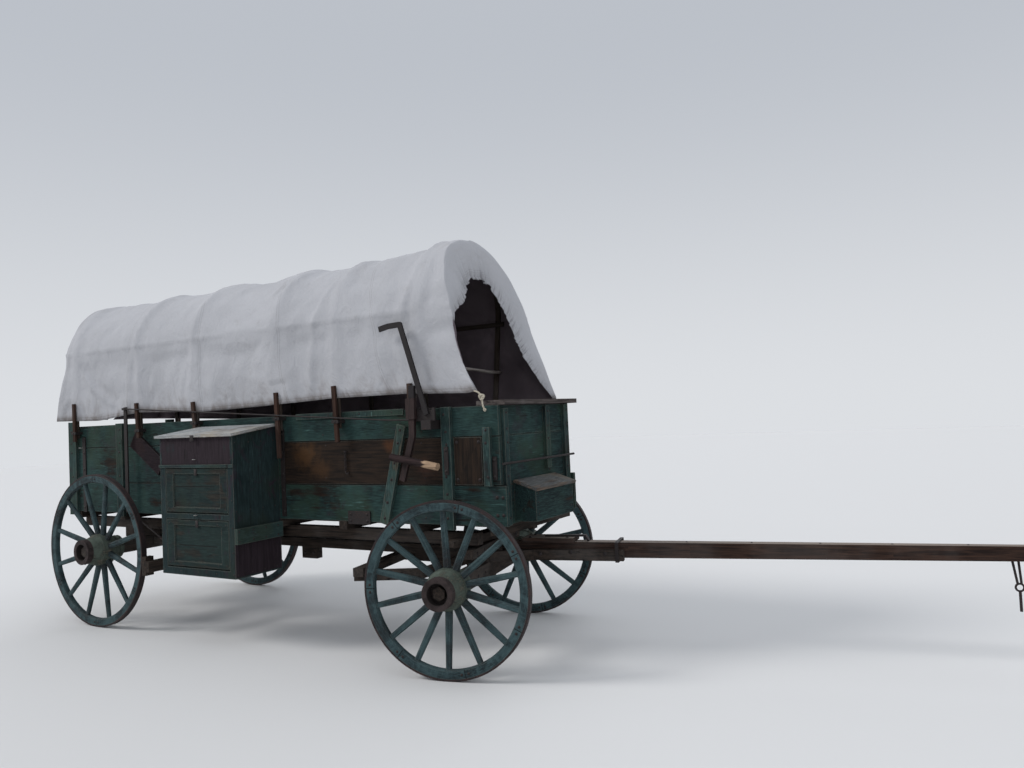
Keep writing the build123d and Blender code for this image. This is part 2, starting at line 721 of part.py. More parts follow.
def cover_end(foot, head, opening):
    """The gathered canvas across one end, with the hole its draw cord leaves."""
    sheet = prism_y([(foot, COVER_HEM), (foot + COVER_THICK, COVER_HEM), (head + COVER_THICK, COVER_TOP),
                     (head, COVER_TOP)], -COVER_HALF_WIDTH, COVER_HALF_WIDTH)
    sheet &= arch_loft(0, COVER_HEM)
    low, high = sorted((foot, head))
    return sheet - prism_x(opening, low - 50, high + 50)


def cover():
    """The canvas: a long arched sheet, drawn in at both ends."""
    front_head = COVER_FRONT - COVER_FRONT_LEAN
    rear_head = COVER_REAR + COVER_REAR_LEAN
    shell = arch_loft(0, COVER_HEM) - arch_loft(COVER_THICK, COVER_HEM - 1)
    shell &= prism_y([(COVER_REAR, COVER_HEM), (COVER_FRONT, COVER_HEM), (front_head, COVER_TOP),
                      (rear_head, COVER_TOP)], -COVER_HALF_WIDTH, COVER_HALF_WIDTH)
    shell += cover_end(COVER_FRONT - COVER_THICK, front_head - COVER_THICK, front_opening())
    shell += cover_end(COVER_REAR, rear_head, rear_opening())
    return shell


STAPLE_OUT = COVER_HALF_WIDTH + 20


def bow_staples():
    """Irons on the bed sides that hold each bow's leg and its stake."""
    found = []
    leg_in = COVER_HALF_WIDTH - COVER_THICK - BOW_GAP - BOW_THICK
    for x, lean, z in BOWS:
        x = x - math.tan(math.radians(lean)) * (COVER_SPRING - z)
        ring = block((x - 33, x + 33), (HALF_BED + SEAT_GAP, STAPLE_OUT + 5), (z - 12, z + 12))
        ring -= block((x - 27, x + 27), (leg_in - SEAT_GAP, STAPLE_OUT), (z - 13, z + 13))
        found += [ring, mirrored(ring)]
    return found


def cover_stakes():
    """Stakes outside the canvas, each in the staple of its bow."""
    # side, which bow, foot below the bed's top, head above it, lean back in degrees
    table = [
        (-1, 0, 142, 213, 1), (-1, 1, 127, 180, 4), (-1, 2, 92, 156, 5),
        (-1, 3, 322, 182, 2), (-1, 4, 212, 200, 3), (-1, 5, 102, 178, 1),
        (1, 0, 142, 198, 2), (1, 1, 122, 178, 4), (1, 2, 112, 178, 1),
        (1, 3, 252, 178, 3), (1, 4, 202, 198, 2), (1, 5, 102, 178, 3),
    ]
    found = []
    for side, which, below, over, lean in table:
        x, bow_lean, staple = BOWS[which]
        foot, head = BED_TOP - below, BED_TOP + over
        x = x - math.tan(math.radians(bow_lean)) * (COVER_SPRING - staple)
        y = sorted((side * (COVER_HALF_WIDTH + SEAT_GAP), side * (STAPLE_OUT - SEAT_GAP)))
        stake = block((-17, 17), y, (foot - staple, head - staple))
        found.append(Pos(x, 0, staple) * Rot(0, -lean, 0) * stake)
    return found


# Side cupboard

def cupboard_top_z(y):
    """Height of the case's sloping top at a distance out from the bed."""
    fall = (CUPBOARD_INNER_TOP - CUPBOARD_OUTER_TOP) / CUPBOARD_DEPTH
    return CUPBOARD_INNER_TOP - fall * (-y - HALF_BED)


CUPBOARD_OUT = -(HALF_BED + CUPBOARD_DEPTH)
STILE = 60.0
UPPER_DOOR = (1002.0, 1335.0)
LOWER_DOOR = (592.0, 947.0)
DOOR_THICK = 24.0
PIN_R = 4.0
PIN_INSET = 8.0


def cupboard_case():
    """An upright case with a sloping top, two door openings and one shelf."""
    inside = -HALF_BED - SEAT_GAP
    side_outline = [
        (inside, CUPBOARD_BOTTOM), (CUPBOARD_OUT, CUPBOARD_BOTTOM),
        (CUPBOARD_OUT, CUPBOARD_OUTER_TOP), (inside, cupboard_top_z(inside)),
    ]
    body = prism_x(side_outline, CUPBOARD_REAR, CUPBOARD_FRONT)
    wall = CUPBOARD_WALL
    x = (CUPBOARD_REAR + wall, CUPBOARD_FRONT - wall)
    y = (CUPBOARD_OUT + wall, inside - wall)
    shelf_low = UPPER_DOOR[0] - DOOR_GAP - wall
    body -= block(x, y, (CUPBOARD_BOTTOM + wall, shelf_low))
    body -= block(x, y, (shelf_low + wall, CUPBOARD_INNER_TOP + 100))
    for low, high in (UPPER_DOOR, LOWER_DOOR):
        body -= block((CUPBOARD_REAR + STILE, CUPBOARD_FRONT - STILE),
                      (CUPBOARD_OUT - 1, CUPBOARD_OUT + wall + 1), (low - DOOR_GAP, high + DOOR_GAP))
        for pin in door_pins(low):
            body += pin
    return body


def cupboard_door(low, high):
    """A framed drop door that closes flush in its opening."""
    x = (CUPBOARD_REAR + STILE + DOOR_GAP, CUPBOARD_FRONT - STILE - DOOR_GAP)
    panel = block(x, (CUPBOARD_OUT, CUPBOARD_OUT + DOOR_THICK), (low, high))
    foot_edge = panel.edges().filter_by(Axis.X).group_by(Axis.Z)[0].sort_by(Axis.Y)[0]
    panel = fillet(foot_edge, PIN_INSET - 0.1)
    recess = block((x[0] + 82, x[1] - 82), (CUPBOARD_OUT - 1, CUPBOARD_OUT + 9), (low + 40, high - 40))
    pin = (CUPBOARD_OUT + PIN_INSET, low + PIN_INSET)
    bore = rod((CUPBOARD_REAR, *pin), (CUPBOARD_FRONT, *pin), PIN_R + RUNNING_FIT)
    return panel - recess - bore


def door_pins(low):
    """Short pins from the case into a door's lower corners, on its hinge line."""
    ends = ((CUPBOARD_REAR + STILE - 12, 26), (CUPBOARD_FRONT - STILE + 12 - 26, 26))
    return [rod((x, CUPBOARD_OUT + PIN_INSET, low + PIN_INSET),
                (x + length, CUPBOARD_OUT + PIN_INSET, low + PIN_INSET), PIN_R) for x, length in ends]


def cupboard_trim():
    """A moulding over the upper door and a batten on the case's front side."""
    out = CUPBOARD_OUT - SEAT_GAP
    low = UPPER_DOOR[1] + DOOR_GAP
    side = CUPBOARD_FRONT + SEAT_GAP
    moulding = block((CUPBOARD_REAR - 6, CUPBOARD_FRONT + 6), (out - 9, out), (low, low + 24))
    batten = block((side, side + 25), (CUPBOARD_OUT, -HALF_BED - 1),
                   (CUPBOARD_BOTTOM + 250, CUPBOARD_BOTTOM + 365))
    return [moulding, batten]


def cupboard_lid():
    """A board with a round inner edge, which turns about that edge's middle."""
    angle = math.degrees(math.atan2(CUPBOARD_INNER_TOP - CUPBOARD_OUTER_TOP, CUPBOARD_DEPTH))
    length = CUPBOARD_DEPTH + 28 - CLEAT_THICK - LID_HINGE_IN
    half = LID_THICK / 2
    ends = (CUPBOARD_REAR - 35, CUPBOARD_FRONT + 20)
    board = block(ends, (-length, 0), (-half, half)) + rod((ends[0], 0, 0), (ends[1], 0, 0), half)
    hinge = -SIDE_FACE - LID_HINGE_IN
    return Pos(0, hinge, cupboard_top_z(hinge) + half + LID_GAP) * Rot(angle, 0, 0) * board


# Jockey box

def jockey_top_z(x):
    fall = (JOCKEY_BACK_TOP - JOCKEY_FRONT_TOP) / JOCKEY_DEPTH
    return JOCKEY_BACK_TOP - fall * (x - GATE_FACE)


def jockey_box():
    back = GATE_FACE + SEAT_GAP
    outline = [(back, JOCKEY_BOTTOM), (GATE_FACE + JOCKEY_DEPTH, JOCKEY_BOTTOM),
               (GATE_FACE + JOCKEY_DEPTH, JOCKEY_FRONT_TOP), (back, jockey_top_z(back))]
    body = prism_y(outline, JOCKEY_RIGHT, JOCKEY_LEFT)
    wall = JOCKEY_WALL
    return body - block((back + wall, GATE_FACE + JOCKEY_DEPTH - wall),
                        (JOCKEY_RIGHT + wall, JOCKEY_LEFT - wall),
                        (JOCKEY_BOTTOM + wall, JOCKEY_BACK_TOP + 50))


def jockey_lid():
    """A board with a round back edge, which turns about that edge's middle."""
    angle = math.degrees(math.atan2(JOCKEY_BACK_TOP - JOCKEY_FRONT_TOP, JOCKEY_DEPTH))
    half = LID_THICK / 2
    ends = (JOCKEY_RIGHT - 16, JOCKEY_LEFT + 16)
    board = block((0, JOCKEY_DEPTH + 12), ends, (-half, half)) + rod((0, ends[0], 0), (0, ends[1], 0), half)
    hinge = GATE_FACE + 16
    return Pos(hinge, 0, jockey_top_z(hinge) + half + LID_GAP) * Rot(0, angle, 0) * board


# Brake

BRAKE_BEAM_AHEAD = 68.0
BRAKE_BEAM_X = REAR_R + BRAKE_BEAM_AHEAD - WHEELBASE
BRAKE_BEAM_Z = 548.0
BRAKE_BEAM_HALF = 42.0


def brake_beam():
    """A cross beam in front of the rear wheels, with a block for each tyre."""
    half = HALF_TRACK + 60
    beam = block((BRAKE_BEAM_X - 10, BRAKE_BEAM_X + 70), (-half, half),
                 (BRAKE_BEAM_Z - BRAKE_BEAM_HALF, BRAKE_BEAM_Z + BRAKE_BEAM_HALF))
    tread = -WHEELBASE + math.sqrt((REAR_R + 12) ** 2 - (REAR_R - BRAKE_BEAM_Z) ** 2)
    for side in (-1, 1):
        y = side * HALF_TRACK
        beam += block((tread + 10, BRAKE_BEAM_X), (y - 35, y + 35), (BRAKE_BEAM_Z - 75, BRAKE_BEAM_Z + 75))
    wheels = [Pos(-WHEELBASE, side * HALF_TRACK, REAR_R) * Rot(90, 0, 0) * Cylinder(REAR_R + 10, 120)
              for side in (-1, 1)]
    return beam - wheels[0] - wheels[1]


def brake_hangers():
    """Straps that hang the beam from the long sills."""
    low = BRAKE_BEAM_Z + BRAKE_BEAM_HALF
    strap = block((BRAKE_BEAM_X, BRAKE_BEAM_X + 40), (SILL_Y - 5, SILL_Y + 5), (low, SILL_BOTTOM))
    return [strap, mirrored(strap)]


ARM_X = 18.0 - WHEELBASE
ARM_Y = -COVER_HALF_WIDTH - 10
ARM_FOOT = BED_BOTTOM + 18
ARM_HEAD = BED_TOP + 150
LEVER_X = BED_FRONT - 500
LEVER_BACK = -COVER_HALF_WIDTH - 46
LEVER_THICK = 14.0
LEVER_WIDTH = 38.0
POST_THICK = 22.0
POST_WIDTH = 46.0
BRAKE_Y = -COVER_HALF_WIDTH - 27
BRAKE_ROD_R = 5.5
BILLET_R = 25.0


def brake_rod():
    """The long pull rod from the rear arm to the post of the hand lever."""
    behind = LEVER_BACK + BRAKE_ROD_R + SEAT_GAP
    return bent_rod([(ARM_X + 27, BRAKE_Y, ARM_HEAD - 16), (LEVER_X - 350, BRAKE_Y, BED_TOP - 68),
                     (LEVER_X - 126, behind, BED_TOP - 74)], BRAKE_ROD_R, 30)


def brake_arm():
    """The upright iron at the rear, and the link from its foot to the beam."""
    arm = block((ARM_X - 20, ARM_X + 20), (ARM_Y - 6, ARM_Y + 6), (ARM_FOOT, ARM_HEAD))
    hook = block((ARM_X - 20, ARM_X + 26), (BRAKE_Y - 6, ARM_Y - 6), (ARM_HEAD - 26, ARM_HEAD - 6))
    beam_top = BRAKE_BEAM_Z + BRAKE_BEAM_HALF + 8
    link = rod((ARM_X + 8, ARM_Y, ARM_FOOT + 8), (BRAKE_BEAM_X - 6, ARM_Y, beam_top), 8)
    return arm + hook + link


def brake_lever():
    """A bent hand iron above the bed, and the jointed post beside it."""
    handle = flat_iron([(LEVER_X - 380, BED_TOP + 566), (LEVER_X - 300, BED_TOP + 581),
                        (LEVER_X - 198, BED_TOP + 584), (LEVER_X, BED_TOP - 42)],
                       (LEVER_BACK - LEVER_THICK, LEVER_BACK), LEVER_WIDTH)
    post = flat_iron([(LEVER_X - 221, LOWER_SEAM + 36), (LEVER_X - 122, UPPER_SEAM + 18),
                      (LEVER_X - 112, BED_TOP + 160)], (LEVER_BACK - POST_THICK, LEVER_BACK), POST_WIDTH)
    post += block((LEVER_X - 158, LEVER_X - 84), (LEVER_BACK - POST_THICK - 10, LEVER_BACK),
                  (BED_TOP - 68, BED_TOP + 72))
    return [handle, post]


def brake_ratchet():
    """The notched plate and the block that carry the lever on the bed side."""
    base = block((LEVER_X - 40, LEVER_X + 40), (LEVER_BACK - POST_THICK, -HALF_BED - SEAT_GAP),
                 (BED_TOP - 142, BED_TOP - 80))
    plate = block((LEVER_X - 108, LEVER_X + 60), (LEVER_BACK + SEAT_GAP, LEVER_BACK + 14),
                  (BED_TOP - 84, BED_TOP + 4))
    for i in range(5):
        x = LEVER_X - 94 + i * 30
        plate -= block((x, x + 12), (LEVER_BACK, LEVER_BACK + 20), (BED_TOP - 10, BED_TOP + 5))
    return base + plate


def brake_billet():
    """A stick of split wood wedged across the lever post."""
    y = LEVER_BACK - POST_THICK - BILLET_R - SEAT_GAP
    return rod((LEVER_X - 285, y, LOWER_SEAM + 201), (LEVER_X + 104, y, LOWER_SEAM + 132), BILLET_R)


def diagonal_board():
    y = -HALF_BED - SEAT_GAP - 11
    return bar((ARM_X + 40, y, UPPER_SEAM + 66), (ARM_X + 422, y, LOWER_SEAM + 130), 22, 150)


def bed_irons():
    """Straps and rub plates on the bed sides, the same on the left and right."""
    # distance behind the bed's front of the front and rear edges, foot, head, face it lies on
    table = [
        (BED_LENGTH - 194, BED_LENGTH - 150, BED_BOTTOM - 7, UPPER_SEAM + 98, HALF_BED),
        (386, 418, LOWER_SEAM + 70, UPPER_SEAM - 62, SIDE_FACE),
        (22, 54, LOWER_SEAM + 35, UPPER_SEAM - 136, HALF_BED),
        (1104, 1312, BED_BOTTOM - 19, BED_BOTTOM + 76, HALF_BED),
        (1940, 1980, BED_BOTTOM + 20, UPPER_SEAM + 98, HALF_BED),
    ]
    found = []
    for front, rear, foot, head, face in table:
        y = (face + SEAT_GAP, face + SEAT_GAP + 9)
        strap = block((BED_FRONT - rear, BED_FRONT - front), y, (foot, head))
        found += [strap, mirrored(strap)]
    return found


def main():
    os.makedirs("parts", exist_ok=True)
    save_wheels()
    save("front_axle", turned(front_axle()))
    save("rear_axle", rear_axle())
    save("sand_board", turned(sand_board()))
    save("front_bolster", bolster(0, BOLSTER_BOTTOM) - rod((0, 0, 0), (0, 0, BED_BOTTOM), KINGPIN_R))
    save("rear_bolster", bolster(-WHEELBASE, REAR_AXLE_TOP))
    save("kingpin", kingpin())
    save("reach_pole", reach_pole(), reach_block())
    save("front_hounds", *[turned(hound) for hound in front_hounds()])
    save("sway_bar", turned(sway_bar()))
    save("rear_hounds", *rear_hounds())
    save("tongue", turned(tongue()))
    save("tongue_saddle", turned(tongue_saddle()))
    save("tongue_irons", *[turned(iron) for iron in tongue_irons()])
    save("tongue_chain", turned(tongue_chain()))
    save("bed_sills", *sills())
    save("cross_bars", *cross_bars())
    save("floor_boards", *floor_boards())
    save("side_boards_right", *side_boards(-1))
    save("side_boards_left", *side_boards(1))
    save("side_cleats", *side_cleats(-1), *side_cleats(1))
    save("side_struts", side_strut(-1), side_strut(1))
    save("bed_irons", *bed_irons())
    save("front_gate", *front_gate())
    save("gate_cleats", *gate_cleats())
    save("gate_rod", gate_rod())
    save("top_board", top_board())
    save("tailgate", tailgate())
    save("tailgate_hinge", tailgate_hinge())
    save("bows", *[bow(x, lean) for x, lean, _ in BOWS])
    save("bow_slats", *bow_slats())
    save("bow_staples", *bow_staples())
    save("cover", cover())
    save("cover_stakes", *cover_stakes())
    save("cupboard_case", cupboard_case())
    save("cupboard_upper_door", cupboard_door(*UPPER_DOOR))
    save("cupboard_lower_door", cupboard_door(*LOWER_DOOR))
    save("cupboard_trim", *cupboard_trim())
    save("cupboard_lid", cupboard_lid())
    save("jockey_box", jockey_box())
    save("jockey_lid", jockey_lid())
    save("brake_beam", brake_beam())
    save("brake_hangers", *brake_hangers())
    save("brake_rod", brake_rod())
    save("brake_arm", brake_arm())
    save("brake_lever", *brake_lever())
    save("brake_ratchet", brake_ratchet())
    save("brake_billet", brake_billet())
    save("diagonal_board", diagonal_board())


main()
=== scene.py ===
import bpy
import random
from math import cos, hypot, pi, radians, sin, tan

import numpy as np
from mathutils import Matrix, Vector


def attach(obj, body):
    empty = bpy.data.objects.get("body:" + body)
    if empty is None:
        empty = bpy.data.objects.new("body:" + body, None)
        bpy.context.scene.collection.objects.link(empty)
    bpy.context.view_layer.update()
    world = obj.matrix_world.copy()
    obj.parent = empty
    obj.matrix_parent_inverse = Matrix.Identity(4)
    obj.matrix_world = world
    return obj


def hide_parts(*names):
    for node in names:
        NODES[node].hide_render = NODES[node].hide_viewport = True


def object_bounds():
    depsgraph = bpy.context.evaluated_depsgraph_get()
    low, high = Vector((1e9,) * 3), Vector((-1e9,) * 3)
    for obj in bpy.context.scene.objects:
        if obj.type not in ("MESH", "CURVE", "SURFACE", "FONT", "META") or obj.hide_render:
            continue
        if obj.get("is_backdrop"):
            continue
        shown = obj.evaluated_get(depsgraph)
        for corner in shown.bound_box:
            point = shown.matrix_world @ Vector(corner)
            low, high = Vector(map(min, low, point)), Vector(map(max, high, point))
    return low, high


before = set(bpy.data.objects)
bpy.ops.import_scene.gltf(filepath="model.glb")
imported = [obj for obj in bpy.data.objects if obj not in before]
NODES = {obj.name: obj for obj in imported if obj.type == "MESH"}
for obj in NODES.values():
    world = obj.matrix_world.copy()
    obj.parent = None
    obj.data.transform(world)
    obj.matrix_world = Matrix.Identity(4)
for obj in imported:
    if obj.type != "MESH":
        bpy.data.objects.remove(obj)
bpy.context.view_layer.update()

# Metres. X forward, Y to the wagon's left, Z up. Photo places were measured from the
# kingpin, which lies S ahead of the frame's origin; the front gear is turned by TURN.
S = 0.572
TURN = radians(12.1)
FRONT_R, REAR_R, HALF_TRACK, WHEELBASE = 0.559, 0.642, 0.85, 3.43
TYRE, FELLOE = 0.012, 0.056
rng = random.Random(7)


def at(x, y, z):
    """A place given from the kingpin."""
    return Vector((x + S, y, z))


def turned(x, y, z):
    """A place on the front gear, given from the kingpin with the tongue along X."""
    return at(cos(TURN) * x - sin(TURN) * y, sin(TURN) * x + cos(TURN) * y, z)


def around(one, two, angle):
    """The direction at an angle from one towards two."""
    return one * cos(angle) + two * sin(angle)


def jitter(reach):
    return rng.uniform(-reach, reach)


def linked(name, data):
    """A new object in the scene."""
    obj = bpy.data.objects.new(name, data)
    bpy.context.scene.collection.objects.link(obj)
    return obj


# The camera stands at the photograph's place, a little lower than the bed's top edge

CAMERA_AT = (3.695, -4.933, 1.639)
AZIMUTH, PITCH, ROLL = radians(30.32), radians(2.147), radians(-2.583)
ahead = Vector((-sin(AZIMUTH) * cos(PITCH), cos(AZIMUTH) * cos(PITCH), sin(PITCH)))
right = Vector((cos(AZIMUTH), sin(AZIMUTH), 0))
above = right.cross(ahead)
camera = linked("camera", bpy.data.cameras.new("camera"))
camera.data.sensor_width = 36.0
camera.data.lens = 28.03
camera.matrix_world = Matrix.Translation(CAMERA_AT) @ Matrix(
    (around(right, above, ROLL), around(above, -right, ROLL), -ahead)).transposed().to_4x4()
bpy.context.scene.camera = camera
bpy.context.scene.view_settings.view_transform = "Standard"


# Node helpers

class Value:
    """A node's output, which adds, subtracts and multiplies like a number."""

    def __init__(self, tree, socket):
        self.tree, self.socket = tree, socket

    def __add__(self, other):
        return self.tree.op("ADD", self, other)

    def __radd__(self, other):
        return self.tree.op("ADD", other, self)

    def __sub__(self, other):
        return self.tree.op("SUBTRACT", self, other)

    def __rsub__(self, other):
        return self.tree.op("SUBTRACT", other, self)

    def __mul__(self, other):
        return self.tree.op("MULTIPLY", self, other)

    def __abs__(self):
        return self.tree.op("ABSOLUTE", self)

    def step(self, low, high, out_low=0, out_high=1):
        """Smoothly from out_low, up to low, to out_high, from high on."""
        return self.tree.node("MapRange", enumerate((self, low, high, out_low, out_high)),
                              interpolation_type="SMOOTHSTEP")

    def fall(self, low, high):
        return self.step(low, high, 1, 0)


class Tree:
    """A node tree, and short ways to add nodes to it."""

    def __init__(self, tree):
        self.tree = tree

    def put(self, value, socket):
        """Link a value to a socket, or set the socket to a constant."""
        if isinstance(value, Value):
            self.tree.links.new(value.socket, socket)
        elif isinstance(value, (tuple, list)) and len(value) == 3 and socket.type == "RGBA":
            socket.default_value = (*value, 1)
        else:
            socket.default_value = value

    def node(self, kind, inputs=(), output=0, **settings):
        """Add a node with its settings and (socket, value) inputs, and return one of its outputs."""
        n = self.tree.nodes.new("ShaderNode" + kind)
        for key, value in settings.items():
            setattr(n, key, value)
        for socket, value in inputs:
            self.put(value, n.inputs[socket])
        return Value(self, n.outputs[output])

    def op(self, kind, one, two=0, clamp=False):
        return self.node("Math", enumerate((one, two)), operation=kind, use_clamp=clamp)

    def vector(self, kind, one, two=(0, 0, 0)):
        number = kind in ("DOT_PRODUCT", "LENGTH")
        return self.node("VectorMath", enumerate((one, two)), int(number), operation=kind)

    def place(self):
        return self.node("TexCoord", output="Object")

    def geometry(self, output):
        return self.node("NewGeometry", output=output)

    def island(self):
        return self.geometry("Random Per Island")

    def split(self, value):
        n = self.tree.nodes.new("ShaderNodeSeparateXYZ")
        self.put(value, n.inputs[0])
        return [Value(self, socket) for socket in n.outputs]

    def join(self, x, y, z):
        return self.node("CombineXYZ", enumerate((x, y, z)))

    def noise(self, where, scale, detail=4, rough=0.55, distortion=0):
        return self.node("TexNoise", (("Vector", where), ("Scale", scale), ("Detail", detail),
                                      ("Roughness", rough), ("Distortion", distortion)))

    def largest(self, one, two):
        return self.op("MAXIMUM", one, two)

    def from_middle(self, value):
        """How far the fraction of a value is from a half."""
        return abs(self.op("FRACT", value) - 0.5)

    def mix(self, share, one, two):
        return self.node("Mix", ((0, share), (6, one), (7, two)), 2, data_type="RGBA")

    def soft_normal(self, radius):
        """The normal with its edges rounded."""
        return self.node("Bevel", (("Radius", radius),), samples=3)

    def edge(self, soft):
        """A mask that is bright where a soft normal leaves the true one."""
        return self.op("SUBTRACT", 1, self.vector("DOT_PRODUCT", soft, self.geometry("True Normal")), True)

    def bump(self, height, strength, distance, normal=None):
        inputs = [("Strength", strength), ("Distance", distance), ("Height", height)]
        return self.node("Bump", inputs + [("Normal", normal)] * bool(normal))


class Material(Tree):
    """A material with a principled shader and a running colour that coats are laid over."""

    def __init__(self, name, rough=0.8, metal=0, specular=0.3, colour=None):
        self.mat = bpy.data.materials.new(name)
        self.mat.use_nodes = True
        super().__init__(self.mat.node_tree)
        self.tree.nodes.clear()
        self.colour = colour
        out = self.tree.nodes.new("ShaderNodeOutputMaterial")
        self.shader = self.tree.nodes.new("ShaderNodeBsdfPrincipled")
        for key, value in (("Roughness", rough), ("Metallic", metal), ("Specular IOR Level", specular)):
            self.shader.inputs[key].default_value = value
        self.tree.links.new(self.shader.outputs[0], out.inputs[0])

    def coat(self, share, tint):
        self.colour = self.mix(share, self.colour, tint)

    def finish(self, rough=None, normal=None):
        for key, value in (("Base Color", self.colour), ("Roughness", rough), ("Normal", normal)):
            if value is not None:
                self.put(value, self.shader.inputs[key])
        return self.mat


def scaled(colour, k, more=0):
    return tuple(c * k + more for c in colour)


def grain_space(t, axis, stretch, spin=0):
    """Coordinates squeezed along the grain and shifted for each loose board, and the plain ones."""
    where = t.place()
    if spin:
        where = t.node("VectorRotate", (("Vector", where), ("Axis", (0, 0, 1)), ("Angle", spin)),
                       rotation_type="AXIS_ANGLE")
    shift = t.island() * 37
    where = t.vector("ADD", where, t.join(shift, shift, shift))
    squeeze = [1 / stretch if name == axis else 1 for name in "XYZ"]
    return t.vector("MULTIPLY", where, squeeze), t.place()


def painted_wood(name, paint, shade, bare, dark, wear, axis="X", purple=0, patches=(), seams=(),
                 planks=None, spots=(), rub=0.75):
    """Old paint over weathered boards: worn along the grain, at edges and in patches, with paler edges that
    are partly wear and partly a painted highlight.
    """
    t = Material(name, rough=0.85, specular=0.12)
    along, where = grain_space(t, axis, 14)
    grain = t.noise(along, 60, 6, 0.62, 0.3)
    fine = t.noise(along, 190, 4, 0.6)
    cloud = t.noise(where, 3.2, 5, 0.6, 0.4)
    streak = t.noise(along, 16, 5, 0.6, 0.2)
    edge = t.edge(t.soft_normal(0.011))
    t.colour = t.mix(cloud.step(0.34, 0.62), paint, shade)
    t.coat(fine.step(0.38, 0.72, 0, 0.55), scaled(paint, 2))
    t.coat(t.noise(where, 2.1, 4, 0.6, 0.6).step(0.46, 0.66, 0, 0.55),
           (paint[0] * 1.35, paint[1] * 1.06, paint[2] * 0.72))
    fleck = t.noise(along, 105, 5, 0.7).step(0.56, 0.7) * streak.step(0.44, 0.62)
    t.coat(fleck * 0.7, scaled(paint, 3.6, 0.01))
    if purple:
        stain = t.noise(where, 5.5, 4, 0.62, 0.8).step(0.54, 0.68, 0, purple)
        t.coat(stain, (0.026, 0.018, 0.026))
    wood = t.mix(grain.step(0.34, 0.66), dark, bare)
    level = cloud * 0.62 + streak * 0.55 + edge * 0.5 + t.island() * 0.1
    x, y, z = t.split(where)
    for spot_x, spot_z, reach, tint in spots:
        rough_edge = (t.noise(where, 11, 5, 0.65) - 0.5) * (reach * 1.6)
        away = t.vector("LENGTH", t.join((x - spot_x) * 0.75, 0, z - spot_z))
        wood = t.mix((away + rough_edge).step(reach * 0.1, reach, 0.7, 0), wood, tint)
    for x0, x1, z0, z1, amount in patches:
        inside = z.step(z0, z0 + 0.004) * z.fall(z1, z1 + 0.004)
        inside = inside * x.step(x0, x0 + 0.004) * x.fall(x1, x1 + 0.004)
        level = level + inside * amount
    worn = level.step(0.98 - wear, 1.1 - wear)
    t.coat(worn, wood)
    # Paler edges: worn paint, and also a painted highlight along every edge.
    worn_and_highlit_edges = (edge * (streak + 0.5)).step(0.05, 0.15, 0, rub)
    t.coat(worn_and_highlit_edges, (0.105, 0.115, 0.1))
    crack = t.noise(along, 34, 3, 0.5, 0.15).fall(0.295, 0.335)
    crack = crack * t.noise(where, 2.4, 2).step(0.42, 0.56)
    for height, low, high in seams:
        line = abs(z - height).fall(0.002, 0.0048) * x.step(low, low + 0.001)
        crack = t.largest(crack, line * x.fall(high, high + 0.001))
    if planks:
        first, pitch, facing = planks
        line = t.from_middle((y - first) * (1 / pitch)).fall(0.006, 0.014)
        side = abs(t.split(t.geometry("True Normal"))[facing])
        crack = t.largest(crack, line * side.step(0.8, 0.9))
    t.coat(crack * 0.8, (0.008, 0.007, 0.007))
    height = grain * 0.6 + fine * 0.35 - (worn * 0.25 + crack * 1.6)
    return t.finish(0.66 + grain * 0.28, t.bump(height, 0.55, 0.004, t.soft_normal(0.004)))


def bare_wood(name, light, dark, axis="X", grey=0.25, spin=0, top=0, tip=None):
    """Unpainted weathered wood with open grain and drying cracks, and a painted highlight on upward faces
    where top is given.
    """
    t = Material(name, rough=0.88, specular=0.12)
    along, where = grain_space(t, axis, 18, spin)
    grain = t.noise(along, 52, 7, 0.66, 0.5)
    fine = t.noise(along, 210, 4, 0.6)
    cloud = t.noise(where, 2.6, 4, 0.55)
    t.colour = t.mix(grain.step(0.33, 0.68), dark, light)
    t.coat(cloud.step(0.4, 0.66, 0, grey), (0.2, 0.185, 0.175))
    t.coat(fine.step(0.52, 0.8, 0, 0.3), scaled(dark, 0.45))
    # Upward faces lighter: a painted highlight on the tops.
    if top:
        up = t.split(t.geometry("Normal"))[2]
        t.coat(up.step(0.55, 0.95, 0, top), (0.34, 0.29, 0.25))
    if tip:
        start, pale = tip
        x = t.split(where)[0] + (grain - 0.5) * 0.12
        split = t.mix(grain.step(0.4, 0.62), scaled(pale, 0.55), pale)
        t.coat(x.step(start, start + 0.03), split)
    crack = t.noise(along, 26, 3, 0.5, 0.1).fall(0.3, 0.335)
    t.coat(crack * 0.85, (0.007, 0.006, 0.006))
    height = grain + fine * 0.4 - crack * 1.8
    return t.finish(0.7 + grain * 0.25, t.bump(height, 0.6, 0.004, t.soft_normal(0.004)))


def rusty_iron(name, dark=(0.02, 0.016, 0.016), rust=(0.07, 0.034, 0.024), much=0.35, below=None):
    """Dark forged iron, rusty in blotches and specks; wood below a given place on it."""
    t = Material(name, rough=0.7, metal=0.35, specular=0.4)
    where = t.place()
    blotch = t.noise(where, 14, 7, 0.68, 0.6)
    speck = t.noise(where, 130, 5, 0.7)
    normal = t.soft_normal(0.003)
    level = blotch * 0.7 + speck * 0.4
    t.colour = t.mix(level.step(0.74 - much * 0.4, 0.92 - much * 0.4), dark, rust)
    t.coat(speck.step(0.55, 0.75, 0, 0.5), scaled(rust, 1.5))
    t.coat(t.edge(normal) * 0.3, (0.13, 0.11, 0.105))
    if below:
        most_x, most_z, wood = below
        grain = t.noise(t.vector("MULTIPLY", where, (1, 1, 0.08)), 90, 5, 0.6)
        post = t.mix(grain.step(0.36, 0.66), scaled(wood, 0.4), wood)
        x, _, z = t.split(where)
        mask = x.fall(most_x, most_x + 0.003) * z.fall(most_z, most_z + 0.003)
        t.coat(mask, post)
    return t.finish(0.5 + blotch * 0.4, t.bump(blotch + speck * 0.6, 0.5, 0.0025, normal))


